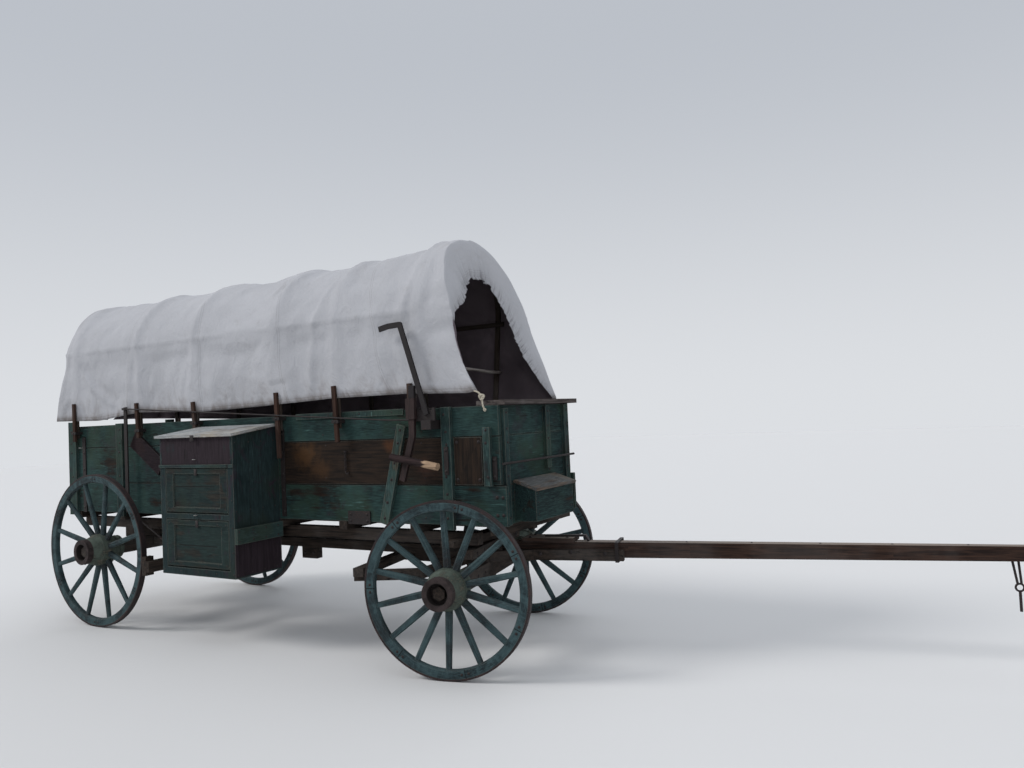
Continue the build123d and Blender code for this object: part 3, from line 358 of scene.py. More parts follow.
def wheel_space(t, centre, turn):
    """Distance from the hub's axis, angle round it and place along it."""
    rel = t.vector("SUBTRACT", t.place(), tuple(centre))
    fore = t.vector("DOT_PRODUCT", rel, (cos(turn), sin(turn), 0))
    side = t.vector("DOT_PRODUCT", rel, (-sin(turn), cos(turn), 0))
    up = t.split(rel)[2]
    return t.op("SQRT", fore * fore + up * up), t.op("ARCTAN2", up, fore), side


def wheel_wood(name, centre, turn, radius, spokes):
    """Painted spokes and felloes, with the grain along each of them."""
    t = Material(name, rough=0.82, specular=0.18)
    where = t.place()
    r, angle, side = wheel_space(t, centre, turn)
    felloe_in = radius - TYRE - FELLOE
    in_ring = r.step(felloe_in - 0.001, felloe_in + 0.001)
    spoke_at = t.join(r * 0.09, angle * r, side)
    ring_at = t.join(r, angle * (radius * 0.1), side)
    along = t.node("Mix", ((0, in_ring), (4, spoke_at), (5, ring_at)), 1, data_type="VECTOR")
    grain = t.noise(along, 85, 6, 0.62)
    fine = t.noise(along, 260, 4, 0.6)
    cloud = t.noise(where, 6, 5, 0.6, 0.5)
    normal = t.soft_normal(0.004)
    own = (t.island() - 0.5) * 0.16
    t.colour = t.mix((cloud + own).step(0.36, 0.64), BLUE, BLUE_SHADE)
    t.coat(fine.step(0.4, 0.74, 0, 0.6), scaled(BLUE, 1.9))
    grime = r.step(0.13, 0.27, 0.55, 0) + cloud.step(0.5, 0.66, 0, 0.45)
    t.coat(grime * grain.step(0.35, 0.6, 1, 0.45), (0.02, 0.016, 0.017))
    wood = t.mix(grain.step(0.35, 0.66), (0.028, 0.022, 0.019), (0.115, 0.1, 0.085))
    level = cloud * 0.6 + grain * 0.5 + t.edge(normal) * 0.7
    worn = level.step(0.95 - WHEEL_WEAR, 1.08 - WHEEL_WEAR)
    t.coat(worn, wood)
    # Paler edges: worn paint, and also a painted highlight along the edges.
    worn_and_highlit_edges = (t.edge(t.soft_normal(0.01)) * (grain + 0.5)).step(0.07, 0.2, 0, 0.5)
    t.coat(worn_and_highlit_edges, (0.125, 0.14, 0.13))
    seam = t.from_middle(angle * (spokes / 2 / (2 * pi)))
    crack = t.noise(along, 42, 3, 0.5).fall(0.295, 0.33) * cloud.step(0.5, 0.6)
    crack = t.largest(crack, seam.fall(0.0035, 0.0085) * in_ring)
    t.coat(crack * 0.9, BLACK)
    height = grain + fine * 0.4 - (crack * 2 + worn * 0.3)
    return t.finish(0.62 + grain * 0.3, t.bump(height, 0.5, 0.003, normal))


def hub_wood(name, centre, turn, out):
    """A turned hub: painted belly, rusty bands and a worn reddish nose."""
    t = Material(name, rough=0.8, specular=0.18)
    where = t.place()
    r, angle, side = wheel_space(t, centre, turn)
    side = side * out
    along = t.join(side * 0.12, angle * 0.12, r)
    grain = t.noise(along, 120, 6, 0.62)
    cloud = t.noise(where, 12, 5, 0.62, 0.5)
    wood = t.mix(grain.step(0.35, 0.66), (0.03, 0.025, 0.02), (0.12, 0.11, 0.085))
    t.colour = t.mix(cloud.step(0.36, 0.64), HUB_PAINT, scaled(HUB_PAINT, 0.55))
    t.coat((cloud * 0.7 + grain * 0.4).step(0.56, 0.7), wood)
    red = t.mix(cloud.step(0.4, 0.62), HUB_NOSE, scaled(HUB_NOSE, 0.5))
    t.coat(side.step(0.09, 0.094), red)
    t.coat(r.fall(0.07, 0.072), (0.02, 0.016, 0.015))
    normal = t.soft_normal(0.003)
    # Paler edges: partly wear, partly a painted highlight.
    t.coat(t.edge(normal) * 0.4, (0.17, 0.14, 0.12))
    crack = t.noise(along, 70, 3, 0.5).fall(0.29, 0.33)
    t.coat(crack * 0.8, BLACK)
    return t.finish(None, t.bump(grain - crack * 1.6, 0.5, 0.003, normal))


# The cover's cloth: pitch of its threads, width of cloth between seams, stitch length, hem
THREAD, PANEL, STITCH, HEM = 0.0042, 0.915, 0.011, 0.03


def canvas_cloth(across, rear, front, end):
    """Plain-woven cotton duck: weave, sewn seams, doubled hems, gathers with painted shade in their tucks and
    over the drawn-in ends, and water marks.
    """
    t = Material("canvas", rough=0.95, specular=0.12)
    u, v, _ = t.split(t.node("UVMap"))
    where = t.place()
    warp, weft = (t.op("SINE", c * (2 * pi / THREAD)) for c in (u, v))
    slubs = t.noise(t.join(u * 0.07, v, 0), 420, 3) + t.noise(t.join(u, v * 0.07, 0), 420, 3)
    weave = warp * weft + slubs * 1.3
    cloud = t.noise(where, 1.7, 5, 0.6, 0.5)
    spots = t.noise(where, 9, 6, 0.62, 0.3)
    t.colour = t.mix(cloud.step(0.35, 0.7), (0.41, 0.417, 0.445), (0.36, 0.367, 0.393))
    t.coat(slubs.step(0.7, 1.25, 0, 0.25), (0.5, 0.49, 0.485))
    t.coat(spots.step(0.56, 0.78, 0, 0.24), (0.25, 0.24, 0.235))
    # Mud and wet at the foot, dust on the top
    height = t.split(where)[2]
    span = t.op("MINIMUM", u, across - u)
    runs = t.noise(t.join(v * 3, u * 1.5, 0), 3, 6, 0.68, 0.8)
    dirt = height.fall(1.76, 2.1) * runs.step(0.44, 0.72)
    t.coat(dirt * 0.5, (0.18, 0.155, 0.14))
    foot = span.fall(0.012, 0.07) * runs.step(0.3, 0.62, 0.25, 0.75)
    t.coat(foot, (0.13, 0.11, 0.1))
    top_dust = height.step(2.6, 2.9) * runs.step(0.45, 0.75)
    t.coat(top_dust * 0.22, (0.27, 0.25, 0.23))
    # Seams and hems, with their lines of stitches
    seam = t.from_middle(v * (1 / PANEL))
    flat_seam = seam.fall(0.0095, 0.0105)
    stitch = abs(seam - 0.01).fall(0.0012, 0.0026) * t.op("FRACT", u * (1 / STITCH)).step(0.25, 0.4)
    hem = span.fall(HEM, HEM + 0.001)
    lines = t.largest(stitch, abs(span - HEM).fall(0.001, 0.0028))
    t.coat(lines * 0.45, (0.15, 0.14, 0.13))
    # The drawn-in ends: 0 where the band starts, 1 at the hole
    drawn = t.largest(v.step(front, end), v.fall(0, rear))
    tuck_relief_and_shade = t.noise(t.join(u * 26, v * 3, 0), 1.6, 5, 0.62, 0.5)
    tight = t.op("POWER", drawn, 5)
    # Painted shade in the tucks of the gathers near the hole.
    t.coat(tight * tuck_relief_and_shade.step(0.38, 0.52, 0.6, 0), (0.09, 0.085, 0.09))
    # The drawn-in ends darker all over: painted shade.
    t.coat(drawn * 0.22, (0.26, 0.255, 0.265))
    crease = t.noise(t.join(u * 2, v * 2.4, 0), 3.6, 6, 0.6, 1.6)
    rub = t.noise(t.join(u * 1.6, v * 5, 0), 7, 5, 0.6, 0.9)
    relief = weave * 0.1 + (flat_seam + hem) * 0.55 - lines * 0.6
    normal = t.bump(crease + rub * 0.35, 0.45, 0.02)
    normal = t.bump(tuck_relief_and_shade * tight, 0.9, 0.018, normal)
    return t.finish(None, t.bump(relief, 0.3, 0.0016, normal))


def cloth_inside_painted_shade():
    """The cloth's inner face, dark brown-grey: painted shade for the inside of the cover."""
    t = Material("canvas_inside_painted_shade", rough=0.95, specular=0.08)
    where = t.place()
    cloud = t.noise(where, 2.4, 5, 0.6, 0.4)
    t.colour = t.mix(cloud.step(0.36, 0.66), (0.15, 0.122, 0.135), (0.092, 0.074, 0.084))
    return t.finish(None, t.bump(t.noise(where, 420, 2), 0.3, 0.001))


def rope_fibre():
    """Hemp rope, pale with darker hollows between its fibres."""
    t = Material("rope", rough=0.95, specular=0.1)
    strand = t.noise(t.vector("MULTIPLY", t.place(), (1, 1, 0.35)), 260, 4, 0.6)
    t.colour = t.mix(strand.step(0.35, 0.7), (0.3, 0.265, 0.2), (0.6, 0.56, 0.47))
    return t.finish(None, t.bump(strand, 0.8, 0.002))


def mesh_object(name, verts, faces, material, body):
    mesh = bpy.data.meshes.new(name)
    mesh.from_pydata([tuple(v) for v in verts], [], faces)
    mesh.update()
    mesh.polygons.foreach_set("use_smooth", [True] * len(mesh.polygons))
    obj = linked(name, mesh)
    mesh.materials.append(material)
    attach(obj, body)
    return obj


# The canvas

# Straight legs rise from the hems to SPRING_Z, HALF_W from the middle, and an arch joins them over the bows.
# LEG is each leg's share of the section. On the unrolled side, q is the height on a leg and goes on over
# the arch, which is ARCH long.
SPRING_Z, HALF_W = 2.39, 0.555
LEG, ARCH = 0.2085, pi * 0.55
BOW_X = [-4.186, -3.24, -2.49, -1.53, -0.93, -0.18]
BOW_LEAN = [0, 0, 0, 0, 0, tan(radians(5))]
REAR_END, FRONT_END = -4.552, 0.305
CLOTH_THICK = 0.0022


def read(x, points):
    """The value at x on the line through (x, value) points."""
    return np.interp(x, *zip(*points))


def ramp(x, start, width):
    """0 up to start, then evenly up to 1 over the width."""
    return np.clip((x - start) / width, 0, 1)


def bell(x, middle, width):
    return np.exp(-((x - middle) / width) ** 2)


def run_of(points):
    """The running length along a line of points."""
    return np.concatenate([[0], np.cumsum(np.linalg.norm(np.diff(points, axis=0), axis=-1))])


def ridge(x, q, points, width, height):
    """A soft fold along a chain of (x, q) points on the unrolled side."""
    best = np.full(x.shape, 1e9)
    for (ax, aq), (bx, bq) in zip(points, points[1:]):
        dx, dq = bx - ax, bq - aq
        k = np.clip(((x - ax) * dx + (q - aq) * dq) / (dx * dx + dq * dq), 0, 1)
        best = np.minimum(best, np.hypot(x - ax - k * dx, q - aq - k * dq))
    return height * (0.65 / (1 + (best / width) ** 2) + 0.35 * bell(best, 0, 3.2 * width))


def waves(x, y, seed, count, low, high):
    """A sum of soft waves in fixed random directions."""
    r = random.Random(seed)
    total = np.zeros(np.broadcast(x, y).shape)
    for _ in range(count):
        k, t = r.uniform(low, high), r.uniform(0, 2 * pi)
        total = total + np.sin(k * (x * cos(t) + y * sin(t)) + r.uniform(0, 6.28)) / k
    return total * low


def top_z(x):
    return read(x, [(-4.54, 2.885), (-0.93, 2.9), (0.29, 2.968)])


def section(s, x):
    """Place on the arched section at s from 0, right hem, to 1, left hem, and its outward normal."""
    right_hem = read(x, [(-4.54, 1.762), (-3.88, 1.747), (-3.25, 1.8), (-2.42, 1.772), (-1.555, 1.792),
                         (-1.035, 1.812), (-0.33, 1.812), (0.21, 1.79), (0.29, 1.8)])
    left_hem = read(x, [(-4.54, 1.762), (-3.88, 1.738), (-3.25, 1.712), (-2.42, 1.706), (-1.5, 1.71),
                        (-0.93, 1.706), (0.1, 1.712), (0.29, 1.742)])
    hem = np.where(s < 0.5, right_hem, left_hem)
    t = ramp(s, LEG, 1 - 2 * LEG)
    rise = top_z(x) - SPRING_Z
    r = (HALF_W ** 2 + rise ** 2) / (2 * rise)
    middle = SPRING_Z + rise - r
    start = np.arctan2(SPRING_Z - middle, HALF_W)
    angle = start + (pi - 2 * start) * (1 - t)
    c, k = np.cos(angle), np.sin(angle)
    on_right, on_left = s < LEG, s > 1 - LEG
    leg = on_right | on_left
    lower = np.where(on_right, s / LEG, np.where(on_left, (1 - s) / LEG, 1.0))
    z = np.where(leg, hem + (SPRING_Z - hem) * lower, middle + r * k)
    y = np.where(on_right, -HALF_W, np.where(on_left, HALF_W, r * c))
    ny = np.where(on_right, -1.0, np.where(on_left, 1.0, c))
    nz = np.where(leg, 0.0, k)
    q = np.where(leg, z, SPRING_Z + np.minimum(t, 1 - t) * ARCH)
    return y, z, ny, nz, q, lower


def bow_distance(x, z):
    """How far a place on the cloth is from the nearest bow."""
    return np.min([np.abs(x - bx - k * (z - SPRING_Z)) for bx, k in zip(BOW_X, BOW_LEAN)], axis=0)


def drape(s, x, z, q, lower):
    """How far the cloth stands out of, or sags into, its plain section."""
    out = np.full(np.broadcast(s, x).shape, -0.003)
    ends = [-4.56] + BOW_X + [0.35]
    for k, (lo, hi) in enumerate(zip(ends, ends[1:])):
        t = ramp(x, lo, hi - lo)
        dip = 0.034 if 0 < k < len(ends) - 2 else 0.01
        arch = np.clip((q - 2.2) / 0.5, 0.45, 1.0)
        out = out - dip * np.maximum(4 * t * (1 - t), 0) ** 0.95 * arch * ((x >= lo) & (x < hi))
    out = out - 0.016 * bell(q, 2.25, 0.11)
    out = out + 0.008 * bell(q, 2.385, 0.018)
    # Folds on the right side, as (points, width, height)
    right_side = [
        ([(-3.2, 2.98), (-3.26, 2.44), (-3.22, 1.82)], 0.02, 0.016),
        ([(-3.2, 2.6), (-3.36, 2.2), (-3.4, 1.9)], 0.018, 0.01),
        ([(-2.44, 2.98), (-2.5, 2.45), (-2.56, 1.9)], 0.02, 0.016),
        ([(-2.5, 2.4), (-2.66, 2.05), (-2.7, 1.84)], 0.018, 0.008),
        ([(-1.48, 2.98), (-1.55, 2.5), (-1.52, 1.84)], 0.02, 0.018),
        ([(-1.53, 2.86), (-1.7, 2.7), (-1.9, 2.68), (-2.1, 2.76)], 0.02, 0.01),
        ([(-0.93, 3.05), (-1.08, 2.62), (-1.16, 2.3), (-1.2, 1.9)], 0.018, 0.022),
        ([(-0.93, 2.92), (-0.94, 2.45), (-0.98, 1.86)], 0.016, 0.014),
        ([(-0.93, 2.7), (-0.74, 2.4), (-0.42, 1.98)], 0.03, 0.012),
        ([(-0.2, 3.15), (-0.24, 2.62), (-0.3, 2.4), (-0.24, 2.16), (-0.2, 1.83)], 0.018, 0.022),
        ([(-0.3, 2.4), (-0.36, 2.18), (-0.3, 2.0)], 0.02, 0.008),
        ([(-4.2, 2.35), (-4.07, 2.19), (-3.92, 2.04), (-3.66, 1.885)], 0.016, 0.03),
        ([(-4.32, 2.34), (-4.39, 2.1), (-4.46, 1.8)], 0.02, 0.01),
        ([(-4.2, 3.0), (-4.22, 2.42), (-4.22, 1.84)], 0.02, 0.012),
        ([(-4.3, 1.96), (-4.42, 1.84), (-4.52, 1.77)], 0.018, 0.014),
        ([(-0.12, 2.2), (0.06, 1.98), (0.24, 1.83)], 0.022, 0.008),
        ([(-2.0, 2.05), (-1.72, 2.0), (-1.56, 2.06)], 0.02, 0.006),
    ]
    left_side = [([(px + 0.05 * sin(7 * i), pq) for px, pq in pts], w, h)
                 for i, (pts, w, h) in enumerate(right_side)]
    for which, table in ((s < 0.5, right_side), (s >= 0.5, left_side)):
        lift = np.zeros(out.shape)
        for points, width, height in table:
            lift = np.maximum(lift, ridge(x, q, points, width, height))
        out = out + lift * which
    # The draw cord's pull on the rear corners, and the free play of the hems between the bows
    drag = [(-4.14, 2.36), (-3.99, 2.2), (-3.85, 2.06), (-3.6, 1.92)]
    out = out - ridge(x, q, drag, 0.022, 0.026)
    loose = np.clip(1 - lower, 0, 1) ** 2
    near = bow_distance(x, z)
    sway = 0.5 + 0.5 * np.sin(x * 8.3 + np.sin(x * 3.1) * 2)
    out = out - loose * 0.022 * sway * ramp(near, 0, 0.2)
    out = out + 0.0052 * waves(x * 1.2 + 9 * (s > 0.5), q, 11, 9, 5.0, 14.0)
    out = out + 0.0014 * waves(x + 5 * (s > 0.5), q * 0.8, 5, 12, 22.0, 44.0)
    # The least and the most it may stand out, which keep it clear of the wood inside
    least = -0.0052 - 0.034 * ramp(near, 0.03, 0.11)
    least = np.maximum(least, -0.016 - 0.25 * np.maximum(np.abs(q - 2.36) - 0.05, 0))
    least = np.where((s > 0.5) & (z < 1.77), np.maximum(least, -0.014), least)
    most = np.where(z < 1.97, -0.0012 + 0.004 * ramp(near, 0.05, 0.1), 0.012)
    soft = 0.0016
    out = least + soft * np.logaddexp(0, (out - least) / soft)
    return np.minimum(out, most)


def front_x(y, z):
    """The front fold, which flares at the right hem and leans back above."""
    near = read(z, [(1.74, 0.318), (1.8, 0.29), (1.893, 0.236), (1.993, 0.184), (2.148, 0.134),
                    (2.3, 0.112), (2.47, 0.082), (2.62, 0.036), (2.8, -0.03), (2.97, -0.085)])
    far = read(z, [(1.7, 0.312), (1.76, 0.3), (2.08, 0.19), (2.3, 0.112), (2.5, 0.045),
                   (2.65, -0.005), (2.83, -0.055), (2.97, -0.085)])
    return near + (far - near) * ramp(y, -HALF_W, 2 * HALF_W)


def rear_x(y, z):
    """The rear fold, which the draw cord pulls forward above the hem."""
    return read(z, [(1.7, -4.505), (1.775, -4.49), (2.15, -4.41), (2.37, -4.36), (2.5, -4.345),
                    (2.62, -4.355), (2.72, -4.385), (2.81, -4.42), (2.9, -4.435)])


# The long sheet has ROWS rows from hem to hem and COLS columns. Its ends have twice as many rows, and
# BAND_COLS columns from the long sheet's edge to the hole.
ROWS, COLS, BAND_COLS = 140, 207, 24
FINE_S = np.linspace(0, 1, 2 * ROWS + 1)[:, None]

# The holes' edges as (s, y, z), and how much each end is gathered and folded as (s, share)
FRONT_EDGE = [(0.0, -0.538, 1.8), (0.1, -0.548, 2.03), (0.19, -0.545, 2.24), (0.235, -0.492, 2.345),
              (0.28, -0.395, 2.405), (0.33, -0.3, 2.475), (0.385, -0.235, 2.57), (0.44, -0.15, 2.622),
              (0.5, -0.01, 2.628), (0.57, 0.085, 2.6), (0.64, 0.15, 2.49), (0.7, 0.205, 2.37),
              (0.78, 0.235, 2.21), (0.86, 0.285, 2.04), (0.93, 0.375, 1.87), (1.0, 0.49, 1.742)]
FRONT_GATHERS = [(0.0, 0.1), (0.2, 0.2), (0.27, 0.6), (0.4, 0.7), (0.48, 1.0), (0.8, 1.0), (0.88, 0.4),
                 (1.0, 0.15)]
FRONT_FOLDS = [(0.0, 0.05), (0.2, 0.15), (0.27, 0.5), (0.36, 0.9), (0.46, 1.0), (0.54, 0.9), (0.62, 0.35),
               (1.0, 0.08)]
REAR_HALF = [(0.0, -0.035, 1.765), (0.06, -0.045, 1.86), (0.12, -0.06, 1.97), (0.17, -0.125, 2.06),
             (0.22, -0.185, 2.17), (0.29, -0.205, 2.28), (0.36, -0.165, 2.39), (0.43, -0.085, 2.46),
             (0.5, 0.0, 2.485)]
REAR_EDGE = REAR_HALF + [(1 - s, -y, z) for s, y, z in REAR_HALF[-2::-1]]
REAR_GATHERS = [(0.0, 0.6), (0.12, 1.0), (0.88, 1.0), (1.0, 0.6)]
REAR_FOLDS = [(0.0, 0.5), (0.15, 0.8), (0.85, 0.8), (1.0, 0.5)]


def long_sheet(s, v):
    """Each row runs from the rear edge to the front edge at its own height."""
    y, z, *_ = section(s, np.full(s.shape, -2.0))
    for _ in range(2):
        x = rear_x(y, z) + (front_x(y, z) - rear_x(y, z)) * v
        y, z, ny, nz, q, lower = section(s, x)
    d = drape(s, x, z, q, lower)
    ends = 0.022 * np.exp(-(x - rear_x(y, z)) / 0.035) + 0.002 * np.exp(-(front_x(y, z) - x) / 0.012)
    d = d - ends * np.clip((q - 1.9) / 0.3, 0.1, 1)
    return np.stack([x, y + ny * d, z + nz * d], axis=-1)


def band(start, edge, plane, outward, seed, swell, gathers, folds, frilled):
    """The end cloth, from the long sheet's edge to the hole its draw cord gathers."""
    r = random.Random(seed)
    s = FINE_S
    t = np.sort(np.append(np.linspace(0, 1, BAND_COLS)[1:], 0.014))[None]
    ey, ez = (read(s, [(place[0], place[k]) for place in edge]) for k in (1, 2))
    sy, sz = start[:, None, 1], start[:, None, 2]
    width = np.hypot(ey - sy, ez - sz)
    pull = ramp(width, 0.03, 0.2)
    gathered, folded = read(s, gathers), read(s, folds)
    flutes, pleats, wander = s * 2 * pi * 21, s * 2 * pi * 44, np.zeros(s.shape)
    for m in range(1, 7):
        bend = np.sin(s * m * 8.0 + r.uniform(0, 6.28))
        flutes = flutes + r.uniform(0.4, 1.0) * bend
        pleats = pleats + r.uniform(1.2, 3.0) * bend
        wander = wander + r.uniform(0.2, 0.5) * np.sin(s * m * 19.0 + r.uniform(0, 6.28))
    broad = (np.sin(flutes) + 0.5 * np.sin(0.47 * flutes + 2)) * (0.8 + 0.3 * wander)
    fine = (np.sin(pleats) + 0.4 * np.sin(1.6 * pleats)) * (0.8 + 0.5 * wander)
    near = ramp(t, 0.76, 0.24) ** 1.2 * gathered
    cord = bell(t, 0.9, 0.035) * gathered
    frill = ramp(t, 0.91, 0.09) * gathered
    lift = pull * (0.012 * broad * ramp(t, 0.1, 0.75) ** 1.3 * folded
                   + 0.0075 * fine * near * (1 - 0.5 * cord) - 0.01 * cord)
    belly = swell * np.sin(np.clip(t, 0, 1) ** 0.8 * pi) * pull
    ruffle = (np.where(s > 0.42, frilled, 0.002) * fine + 0.009 * wander) * frill * pull
    norm = np.maximum(width, 1e-6)
    sink = 0.008 * np.sin(t * pi) * pull * np.cos(flutes)
    yy = sy + (ey - sy) * t + (ey - sy) / norm * ruffle + (ez - sz) / norm * sink * 0.4
    zz = sz + (ez - sz) * t + (ez - sz) / norm * ruffle - (ey - sy) / norm * sink * 0.4
    turn_in = 1 - np.exp(-t / 0.03)
    xx = plane(yy, zz) + outward * (0.004 * turn_in * ramp(width, 0, 0.1) + belly + lift)
    blend = ramp(t, 0, 0.03)
    return np.stack([start[:, None, 0] * (1 - blend) + xx * blend, yy, zz], axis=-1)


def end_index(k, c, side, first, column):
    """A vertex of an end: row k, column c, where column 0 is the long sheet's edge."""
    if c > 0:
        return first + k * BAND_COLS + c - 1
    return (k // 2) * COLS + column if k % 2 == 0 else side + k // 2


def make_canvas():
    """The cover: one sheet over the bows whose two ends are drawn in by a cord."""
    v = np.sort(np.append(np.linspace(0, 1, COLS - 4), [0.0009, 0.0028, 0.9972, 0.9991]))[None]
    body = long_sheet(FINE_S[::2], v)
    edges = long_sheet(FINE_S, np.array([[0.0, 1.0]]))
    front = band(edges[:, 1], FRONT_EDGE, front_x, 1, 3, 0.01, FRONT_GATHERS, FRONT_FOLDS, 0.0055)
    rear = band(edges[:, 0], REAR_EDGE, rear_x, -1, 8, 0.02, REAR_GATHERS, REAR_FOLDS, 0.0035)

    # One sheet: the body, the middles of its end edges, then the finer rows of the two ends
    parts = [body.reshape(-1, 3), edges[1::2, 1], edges[1::2, 0], front.reshape(-1, 3), rear.reshape(-1, 3)]
    _, front_mid, rear_mid, front_first, rear_first = np.cumsum([0] + [len(c) for c in parts[:-1]])
    across = np.interp(FINE_S[:, 0], FINE_S[::2, 0], run_of(body[:, COLS // 2]))
    run = run_of(body[ROWS // 2])
    run_front = run_of(front[ROWS]) + np.linalg.norm(front[ROWS, 0] - edges[ROWS, 1])
    run_rear = run_of(rear[ROWS]) + np.linalg.norm(rear[ROWS, 0] - edges[ROWS, 0])
    back, fore = run_rear[-1], run_rear[-1] + run[-1]
    grids = ((across[::2], back + run), (across[1::2], [fore]), (across[1::2], [back]),
             (across, fore + run_front), (across, back - run_rear))
    cloth = np.concatenate([np.stack(np.meshgrid(*grid, indexing="ij"), axis=-1).reshape(-1, 2)
                            for grid in grids])
    marks = across[-1], back, fore, fore + run_front[-1]

    faces = []
    for i in range(ROWS):
        low, high = i * COLS, (i + 1) * COLS
        faces.append((low, low + 1, high + 1, high, rear_mid + i))
        faces += [(low + j, low + j + 1, high + j + 1, high + j) for j in range(1, COLS - 2)]
        faces.append((low + COLS - 2, low + COLS - 1, front_mid + i, high + COLS - 1, high + COLS - 2))
    ends = (((front_mid, front_first, COLS - 1), ((0, 0), (0, 1), (1, 1), (1, 0))),
            ((rear_mid, rear_first, 0), ((0, 1), (0, 0), (1, 0), (1, 1))))
    for k in range(2 * ROWS):
        for c in range(BAND_COLS):
            for end, corners in ends:
                faces.append([end_index(k + i, c + j, *end) for i, j in corners])
    verts = np.concatenate(parts)
    verts[:, 0] = np.clip(verts[:, 0], REAR_END, FRONT_END) + S
    faces = [tuple(int(k) for k in face) for face in faces]
    obj = mesh_object("canvas_sheet", verts, faces, canvas_cloth(*marks), "bed")
    # The inner faces take the dark painted-shade cloth.
    obj.data.materials.append(cloth_inside_painted_shade())
    layer = obj.data.uv_layers.new(name="cloth")
    index = np.empty(len(obj.data.loops), dtype=np.int32)
    obj.data.loops.foreach_get("vertex_index", index)
    layer.data.foreach_set("uv", cloth[index].ravel())
    thick = obj.modifiers.new("thick", "SOLIDIFY")
    thick.thickness = CLOTH_THICK
    thick.offset = -1
    thick.material_offset = 1
    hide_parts("cover")


make_canvas()


# Materials for the CAD nodes

TEAL, TEAL_SHADE = (0.018, 0.04, 0.037), (0.007, 0.014, 0.015)
BROWN, BROWN_DARK = (0.026, 0.0165, 0.0115), (0.008, 0.006, 0.005)
BLUE, BLUE_SHADE = (0.035, 0.061, 0.066), (0.01, 0.018, 0.021)
GEAR, GEAR_DARK = (0.046, 0.034, 0.027), (0.012, 0.01, 0.009)
HUB_PAINT, HUB_NOSE, BLACK = (0.08, 0.1, 0.082), (0.042, 0.031, 0.03), (0.006, 0.006, 0.006)
WHEEL_WEAR = 0.22
SEAM_LOW, SEAM_HIGH = 1.178, 1.5

# Bare brown places on the right side boards, as (x, z, reach, tint)
SPOTS = [(-1.3 + S, 1.405, 0.14, (0.068, 0.033, 0.013)), (-1.17 + S, 1.3, 0.13, (0.052, 0.026, 0.012)),
         (-0.47 + S, 1.455, 0.09, (0.075, 0.03, 0.013)), (-0.18 + S, 1.29, 0.1, (0.042, 0.02, 0.014))]

mats = {}


def board(key, **kw):
    base = dict(paint=TEAL, shade=TEAL_SHADE, bare=BROWN, dark=BROWN_DARK, wear=0.34, purple=0.4)
    mats[key] = painted_wood(key, **{**base, **kw})


# Patches are (x0, x1, z0, z1, amount) and seams (z, x0, x1)
board("side_boards", spots=SPOTS, wear=0.3,
      patches=[(-1.55 + S, 0.02 + S, SEAM_LOW, SEAM_HIGH, 0.3),
               (-2.4 + S, -1.6 + S, SEAM_LOW, SEAM_HIGH, 0.1)],
      seams=[(z, -4.3 + S, 0.47 + S) for z in (SEAM_LOW, SEAM_HIGH)])
board("upright_x", paint=(0.024, 0.046, 0.043), axis="Z", wear=0.26, rub=0.9,
      patches=[(0.064 + S, 0.291 + S, SEAM_LOW, SEAM_HIGH, 0.5)])
board("gate", axis="Y", wear=0.24)
# The cupboard's second patch darkens its side below the batten: painted shade under the batten.
board("cupboard", paint=(0.014, 0.025, 0.026), bare=(0.028, 0.02, 0.025), dark=(0.016, 0.011, 0.014),
      axis="Z", wear=0.26, purple=0.9, planks=(-0.508, 0.117, 0),
      patches=[(-2.398 + S, -1.618 + S, 1.362, 1.575, 0.26), (-1.6 + S, -1.58 + S, 0.54, 0.775, 0.32)])
board("door", paint=(0.013, 0.024, 0.022), bare=(0.034, 0.032, 0.026), dark=(0.011, 0.01, 0.009),
      purple=0.45, seams=((1.197, -2.247 + S, -1.802 + S), (0.754, -2.225 + S, -1.793 + S)))
board("trim", paint=(0.022, 0.04, 0.039), axis="Y", wear=0.22)
board("strut", paint=(0.034, 0.06, 0.056), bare=(0.085, 0.075, 0.055), axis="Z", rub=0.9)

for key, light, dark, axis, grey in (
        ("gear", GEAR, GEAR_DARK, "X", 0.15), ("gear_y", GEAR, GEAR_DARK, "Y", 0.15),
        ("floor", (0.06, 0.042, 0.03), (0.018, 0.013, 0.01), "X", 0.2),
        ("stake", (0.058, 0.03, 0.021), (0.017, 0.01, 0.008), "Z", 0.1),
        ("bow", (0.06, 0.045, 0.036), (0.02, 0.015, 0.012), "Z", 0.2),
        ("slat", (0.05, 0.038, 0.032), (0.018, 0.014, 0.012), "X", 0.2),
        ("pole", (0.36, 0.33, 0.31), (0.15, 0.13, 0.12), "Y", 0.2),
        ("top_board", (0.095, 0.08, 0.074), (0.028, 0.022, 0.022), "Y", 0.4)):
    mats[key] = bare_wood(key, light, dark, axis, grey)
# The tongue's upward faces get a painted highlight.
mats["tongue"] = bare_wood("tongue_wood", (0.052, 0.029, 0.021), (0.013, 0.008, 0.007), "X", 0.12,
                           spin=-TURN, top=0.5)
mats["billet"] = bare_wood("billet", (0.036, 0.022, 0.022), (0.012, 0.008, 0.008), "X", 0.2,
                           tip=(-0.095 + S, (0.42, 0.29, 0.19)))
mats["plank"] = painted_wood("plank", (0.015, 0.009, 0.011), (0.008, 0.005, 0.007), (0.032, 0.021, 0.018),
                             BROWN_DARK, 0.16, rub=0.3)
mats["lid"] = painted_wood("lid", (0.27, 0.28, 0.285), (0.19, 0.2, 0.205), (0.22, 0.19, 0.165),
                           (0.07, 0.056, 0.048), 0.28, rub=0.0)
mats["jockey_lid"] = painted_wood("jockey_lid", (0.095, 0.098, 0.096), (0.05, 0.052, 0.052),
                                  (0.15, 0.115, 0.09), (0.04, 0.03, 0.026), 0.34, axis="Y", rub=0.0)
